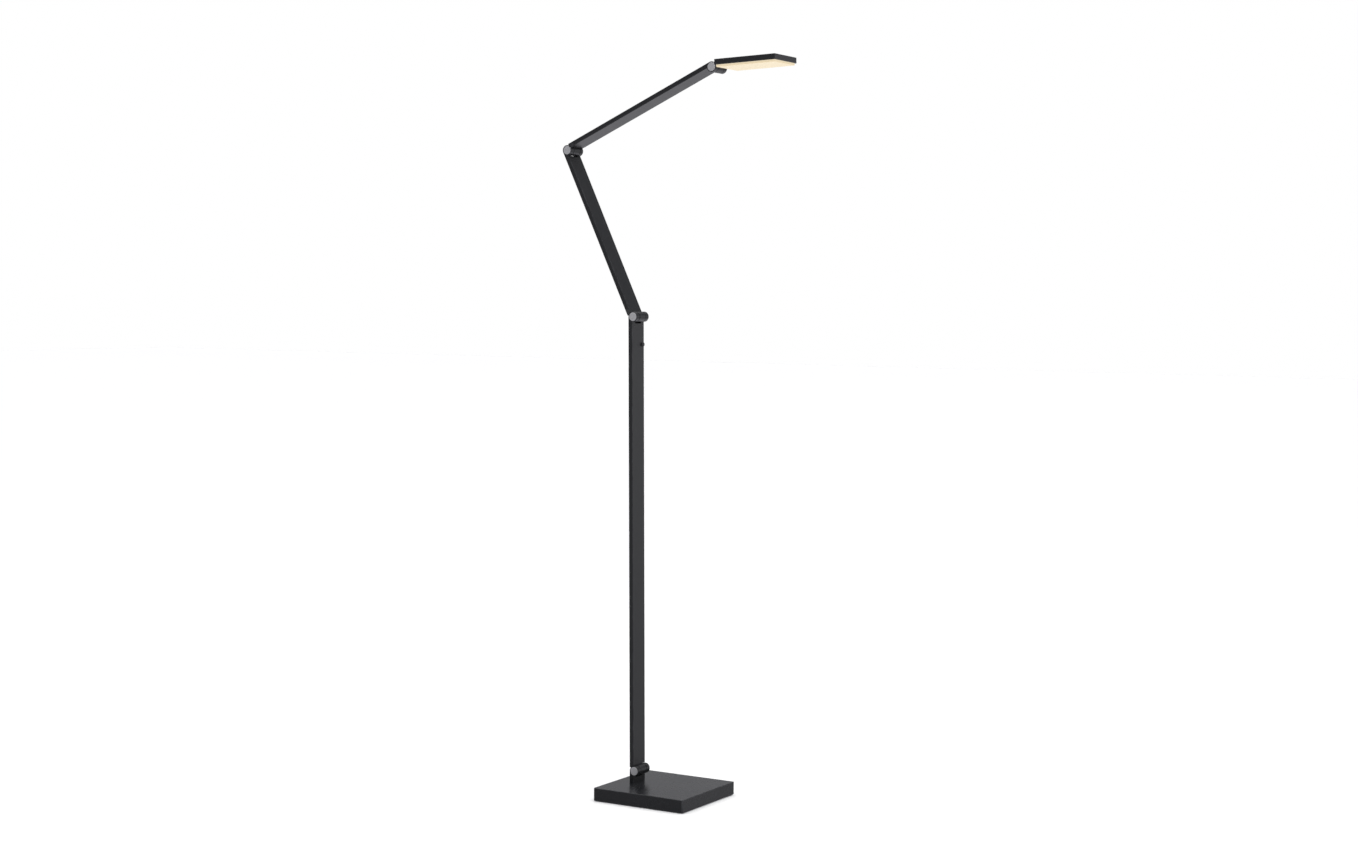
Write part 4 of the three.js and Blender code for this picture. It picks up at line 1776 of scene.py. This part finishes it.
@dataclass(frozen=True)
class HeadSizes:
    """The LED head, in mm, in a frame with X forwards from the hinge axis and Z up."""

    reach: float = 21.0
    length: float = 149.0
    width: float = 100.0
    thick: float = 12.4
    above: float = 12.2
    wall: float = 1.8
    corner: float = 2.0
    edge: float = 0.6
    inner_edge: float = 0.4
    foot_edge: float = 0.3
    neck: float = 8.4
    neck_edge: float = 0.35
    screw: float = 1.5
    screw_head: float = 2.8
    screw_head_thick: float = 1.8
    screw_spread: float = 14.0
    screw_bite: float = 6.0
    screw_tip: float = 0.3
    screw_edge: float = 0.7
    screw_socket: float = 2.0
    screw_socket_depth: float = 1.1
    board_inset: float = 6.0
    board: float = 1.6
    board_corner: float = 1.0
    reflector_wall: float = 1.2
    reflector: float = 4.0
    reflector_edge: float = 0.2
    lens_inset: float = 2.6
    lens_wall: float = 1.8
    lens_proud: float = 4.8
    lens_rim: float = 3.0
    lens_corner: float = 3.0
    lens_edge: float = 2.4
    lens_rim_edge: float = 0.2
    lens_floor_edge: float = 0.6
    lens_belly: float = 0.15


class Head:
    """The slim head: bracket, housing, screws, board, reflector and diffuser."""

    BODY = "head"
    CHIP = (2.8, 3.5, 0.7)
    CHIPS = (12, 6)

    def __init__(self, place: Place) -> None:
        """Args:
        place: The head's frame, at the head hinge, with X forwards and Z up.
        """
        self.place = place
        self.sizes = HeadSizes()

    @property
    def middle(self) -> float:
        """X of the middle of the housing."""
        return self.sizes.reach + self.sizes.length / 2

    @property
    def ceiling(self) -> float:
        """Z of the underside of the housing's top."""
        return self.sizes.above - self.sizes.wall

    @property
    def foot(self) -> float:
        """Z of the housing's lower edge."""
        return self.sizes.above - self.sizes.thick

    @property
    def neck_z(self) -> float:
        """Z of the middle of the neck."""
        return self.ceiling - self.sizes.neck / 2

    def bracket(self) -> Skin:
        """The links' centre knuckle turned to face forwards, with the neck to the housing."""
        ahead = centre_knuckle(BARREL.radius + OVERLAP).mapped(z_to_x)
        low = max(self.neck_z - self.sizes.neck / 2, -IN)
        deep = (0, self.sizes.reach - BAR.gap)
        tall, edge = (low, self.ceiling), self.sizes.neck_edge
        neck = cuboid(deep, (-CENTRE_HALF, CENTRE_HALF), tall, edge)
        return soldered([ahead, neck])

    def housing(self) -> Skin:
        """The housing: from under its ceiling, down inside, round its rim and over the top."""
        s = self.sizes
        profile = [
            Corner(s.wall + 8, self.ceiling),
            Corner(s.wall, self.ceiling, s.inner_edge),
            Corner(s.wall, self.foot, s.foot_edge),
            Corner(0, self.foot, s.edge),
            Corner(0, s.above, s.edge),
            Corner(12, s.above),
        ]
        return slab(s.length / 2, s.width / 2, s.corner, profile).moved(x=self.middle)

    def screw(self, side: int) -> Skin:
        """A pan-head screw through the housing's rear wall into the neck."""
        s = self.sizes
        shoulder = s.reach + s.wall + BAR.gap
        top = shoulder + s.screw_head_thick
        profile = [
            Corner(0.4, s.reach - s.screw_bite),
            Corner(s.screw, s.reach - s.screw_bite, s.screw_tip),
            Corner(s.screw, shoulder),
            Corner(s.screw_head, shoulder, 0.1),
            Corner(s.screw_head, top, s.screw_edge),
            Corner(1.9, top),
        ]
        made = hex_socket_screw(profile, s.screw_socket, top - s.screw_socket_depth, top)
        return made.mapped(y_to_x).moved(y=side * s.screw_spread / 2, z=self.neck_z)

    def board(self) -> Skin:
        """The LED board with its chips in rows on the underside."""
        s = self.sizes
        top = self.ceiling - BAR.gap
        foot = top - s.board
        grow = s.wall + s.board_inset
        half_x, half_y = s.length / 2 - grow, s.width / 2 - grow
        sheet = [Corner(4, foot), Corner(0, foot), Corner(0, top), Corner(4, top)]
        plate = slab(half_x, half_y, s.board_corner, sheet)
        columns, rows = self.CHIPS
        xs = np.linspace(-half_x, half_x, columns + 2)[1:-1]
        ys = np.linspace(-half_y, half_y, rows + 2)[1:-1]
        w, l, t = self.CHIP
        chip = [Corner(0.6, -t), Corner(0, -t), Corner(0, 0.1), Corner(0.6, 0.1)]
        one = slab(w / 2, l / 2, 0.1, chip)
        chips = [one.moved(x, y, foot) for x in xs for y in ys]
        return together([plate, *chips]).moved(x=self.middle)

    def reflector(self) -> Skin:
        """A white frame round the LEDs: its wall carried round a rounded rectangle."""
        s = self.sizes
        top = self.ceiling - BAR.gap - s.board - BAR.gap
        grow = s.wall + s.board_inset
        low = top - s.reflector
        wall, edge = s.reflector_wall, s.reflector_edge
        section = [Corner(x, z, edge) for x, z in ((0, low), (0, top), (wall, top), (wall, low))]
        half_x, half_y = s.length / 2 - grow, s.width / 2 - grow
        made = slab(half_x, half_y, s.board_corner, section, closed=True)
        return made.moved(x=self.middle)

    def diffuser(self) -> Skin:
        """The opal tray: down its rim, round a soft edge and across a face that bellies a hair.

        The profile runs from inside the tray, over its rim, down the outside, and in under it.
        Its lower edge is a wide curve, and the face drops by the belly towards the middle: by
        two thirds of it in the first twelve millimetres.
        """
        s = self.sizes
        low, top = self.foot - s.lens_proud, self.foot + s.lens_rim
        floor = low + s.lens_wall
        profile = [
            Corner(s.lens_wall + 16, floor),
            Corner(s.lens_wall + 0.3, floor, s.lens_floor_edge),
            Corner(s.lens_wall, top, s.lens_rim_edge),
            Corner(0, top, s.lens_rim_edge),
            Corner(0, low + s.lens_belly, s.lens_edge),
            Corner(12, low + s.lens_belly / 3),
            Corner(26, low),
        ]
        half_x, half_y = s.length / 2 - s.lens_inset, s.width / 2 - s.lens_inset
        return slab(half_x, half_y, s.lens_corner, profile, corner_wear=0.0).moved(x=self.middle)

    def build(self, shop: Workshop) -> None:
        """Makes the head's pieces."""
        rows = (
            ("head_bracket", self.bracket(), Slot.LINK_PAINT),
            ("head_housing", self.housing(), Slot.LINK_PAINT),
            ("neck_screw_left", self.screw(-1), Slot.STEEL),
            ("neck_screw_right", self.screw(1), Slot.STEEL),
            ("led_board", self.board(), Slot.LED_BOARD),
            ("reflector_frame", self.reflector(), Slot.REFLECTOR),
            ("diffuser", self.diffuser(), Slot.DIFFUSER),
        )
        for node, skin, slot in rows:
            shop.make(node, skin, self.place, slot, self.BODY)


# ------------------------------------------------------------------------------------------
# studio
# ------------------------------------------------------------------------------------------


@dataclass(frozen=True)
class View:
    """Where the camera stands: round the lamp's middle line, in metres and degrees."""

    azimuth: float = 30.969
    distance: float = 4.9804
    height: float = 1.1208
    pan: float = -0.279
    pitch: float = -3.242
    roll: float = 0.591
    lens_mm: float = 59.469
    sensor_mm: float = 36.0
    farthest: float = 60.0


@dataclass(frozen=True)
class SoftBox:
    """A square soft light: its place, what it looks at, its side in metres and its power."""

    name: str
    place: tuple[float, float, float]
    target: tuple[float, float, float]
    side: float
    watts: float


class Studio:
    """The camera, the floor, the surround and the lights."""

    VIEW = View()
    BOXES = (
        SoftBox("overhead_softbox", (0.5, -0.4, 3.4), (0.0, 0.0, 1.0), 1.2, 16.0),
        SoftBox("right_softbox", (3.4, 0.6, 1.9), (0.0, 0.0, 1.0), 1.2, 4.0),
    )
    FLOOR_COLOUR = "#ffffff"
    FLOOR_HALF = 30.0
    CEILING_WATTS = 2.3  # for each square metre, from a wide even ceiling
    CEILING_DEGREES = 100.0
    BACKDROP = "#ffffff"  # what the camera sees of the surround
    SURROUND = (  # what the lamp mirrors, by height from straight down at -1 to straight up at 1
        (-1.0, "#e8e7ed"),
        (-0.45, "#e8e7ed"),
        (-0.22, "#8e8e91"),
        (0.0, "#d0d0d2"),
        (0.2, "#b0b0b4"),
        (0.4, "#6c6c6e"),
        (1.0, "#b0b0b2"),
    )
    STRENGTH = (0.7, 1.15)  # of the surround towards -X and -Y, and towards +X and +Y
    TOWARDS = (0.7, 0.7, 0.0)  # the direction in which it grows
    TOWARDS_SPAN = (-0.8, 0.6)  # how far along that direction it starts and stops growing

    def camera(self) -> None:
        """Stands the camera and turns it by pan, pitch and roll about its own axes."""
        v = self.VIEW
        around, turned_to = math.radians(v.azimuth), math.radians(v.azimuth + v.pan)
        level = Vector((-math.sin(turned_to), math.cos(turned_to), 0))
        right = Vector((level.y, -level.x, 0))
        up = Vector((0, 0, 1))
        pitch, roll = math.radians(v.pitch), math.radians(v.roll)
        forward = level * math.cos(pitch) + up * math.sin(pitch)
        upright = up * math.cos(pitch) - level * math.sin(pitch)
        side = right * math.cos(roll) + upright * math.sin(roll)
        top = upright * math.cos(roll) - right * math.sin(roll)
        data = bpy.data.cameras.new("studio_camera")
        data.lens = v.lens_mm
        data.sensor_width = v.sensor_mm
        data.sensor_fit = "HORIZONTAL"
        data.clip_end = v.farthest
        camera = bpy.data.objects.new("studio_camera", data)
        place = Vector((math.sin(around) * v.distance, -math.cos(around) * v.distance, v.height))
        turn = Matrix((side, top, -forward)).transposed().to_4x4()
        camera.matrix_world = Matrix.Translation(place) @ turn
        bpy.context.scene.collection.objects.link(camera)
        bpy.context.scene.camera = camera

    def floor(self) -> None:
        """A plain pale floor, painted matt."""
        half = self.FLOOR_HALF
        mesh = bpy.data.meshes.new("floor")
        corners = [(-half, -half, 0), (half, -half, 0), (half, half, 0), (-half, half, 0)]
        mesh.from_pydata(corners, [], [(0, 1, 2, 3)])
        floor = bpy.data.objects.new("floor", mesh)
        bpy.context.scene.collection.objects.link(floor)
        paint = Finish("matt_studio_floor", self.FLOOR_COLOUR, 0.95, variation=0.01)
        mesh.materials.append(paint.build())
        floor.visible_glossy = False  # the lamp mirrors the surround below the horizon instead

    def surround(self) -> None:
        """A grey surround, dimmer towards -X and -Y, and white where the camera sees it."""
        world = bpy.data.worlds.new("studio")
        bpy.context.scene.world = world
        world.use_nodes = True
        tree = world.node_tree
        tree.nodes.clear()
        add = partial(add_node, tree)
        way = add("ShaderNodeTexCoord").outputs["Generated"]
        height = add("ShaderNodeSeparateXYZ", None, {0: way}).outputs["Z"]
        share = add("ShaderNodeMapRange", None, {"Value": height}, spread((-1.0, 1.0)))
        ramp = add("ShaderNodeValToRGB", None, {"Fac": share})
        stops = ramp.color_ramp.elements
        for at, _ in self.SURROUND[2:]:
            stops.new((at + 1) / 2)
        for stop, (at, colour) in zip(stops, self.SURROUND):
            stop.position = (at + 1) / 2
            stop.color = linear(colour)
        settings, values = {"operation": "DOT_PRODUCT"}, {1: self.TOWARDS}
        lean = add("ShaderNodeVectorMath", settings, {0: way}, values).outputs["Value"]
        values = spread(self.TOWARDS_SPAN, self.STRENGTH)
        level = add("ShaderNodeMapRange", None, {"Value": lean}, values)
        lit = add("ShaderNodeBackground", None, {"Color": ramp, "Strength": level})
        seen = add("ShaderNodeBackground", values={"Color": linear(self.BACKDROP)})
        direct = add("ShaderNodeLightPath").outputs["Is Camera Ray"]
        mixed = add("ShaderNodeMixShader", None, {0: direct, 1: lit, 2: seen})
        add("ShaderNodeOutputWorld", None, {"Surface": mixed})

    def lights(self) -> None:
        """Hangs the soft boxes under the wide even ceiling."""
        ceiling = bpy.data.lights.new("ceiling", "SUN")
        ceiling.energy = self.CEILING_WATTS
        ceiling.angle = math.radians(self.CEILING_DEGREES)
        bpy.context.scene.collection.objects.link(bpy.data.objects.new("ceiling", ceiling))
        for box in self.BOXES:
            data = bpy.data.lights.new(box.name, "AREA")
            data.shape = "SQUARE"
            data.size = box.side
            data.energy = box.watts
            light = bpy.data.objects.new(box.name, data)
            light.location = box.place
            aim = Vector(box.target) - Vector(box.place)
            light.rotation_euler = aim.to_track_quat("-Z", "Y").to_euler()
            bpy.context.scene.collection.objects.link(light)

    def build(self) -> None:
        """Sets the whole studio."""
        for step in (self.camera, self.floor, self.surround, self.lights):
            step()
        bpy.context.scene.view_settings.view_transform = "Standard"


STEEPEST = 45  # the most that the head can lean at rest, in degrees
HALVINGS = 40  # of that range, until the lean is found


@dataclass
class Lamp:
    """The whole lamp, from the floor up."""

    shop: Workshop = field(default_factory=Workshop)

    def build(self) -> None:
        """Makes every sub-assembly in order."""
        at = hinge_places()
        order = ("base_hinge", "column_hinge", "elbow_hinge", "head_hinge")
        base_pivot, top, elbow, head = (at[name] for name in order)
        Base(base_pivot).build(self.shop)
        HingeSet("base_hinge", Place(*base_pivot), "base").build(self.shop)
        column, column_length = link_place(base_pivot, top)
        Column(column, column_length).build(self.shop)
        HingeSet("column_hinge", column.beyond(column_length), "column").build(self.shop)
        for name, start, end, hinge in (
            ("lower_arm", top, elbow, "elbow_hinge"),
            ("upper_arm", elbow, head, "head_hinge"),
        ):
            place, length = link_place(start, end)
            Link(name, place, length, name).build(self.shop)
            HingeSet(hinge, place.beyond(length), name).build(self.shop)
        Head(Place(*head, head_lean())).build(self.shop)
        LOG.info("%d pieces", len(self.shop.pieces))


def head_lean() -> float:
    """The head's lean, from its four corners in the frame: nose up is negative.

    The housing's box at rest is its length and thickness seen at the lean, so the lean is found
    by halving the range in which the box's height grows with it.
    """
    low, high = (np.array(v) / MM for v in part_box("head_housing"))
    s = HeadSizes()
    tall = high[2] - low[2]
    small, large = 0.0, math.radians(STEEPEST)
    for _ in range(HALVINGS):
        lean = (small + large) / 2
        if s.length * math.sin(lean) + s.thick * math.cos(lean) < tall:
            small = lean
        else:
            large = lean
    return -math.degrees(small)


def main() -> None:
    """Builds the studio and the lamp."""
    logging.basicConfig(level=logging.INFO, format="%(name)s: %(message)s")
    Studio().build()
    Lamp().build()
    bpy.context.view_layer.update()


if __name__ == "__main__":
    main()
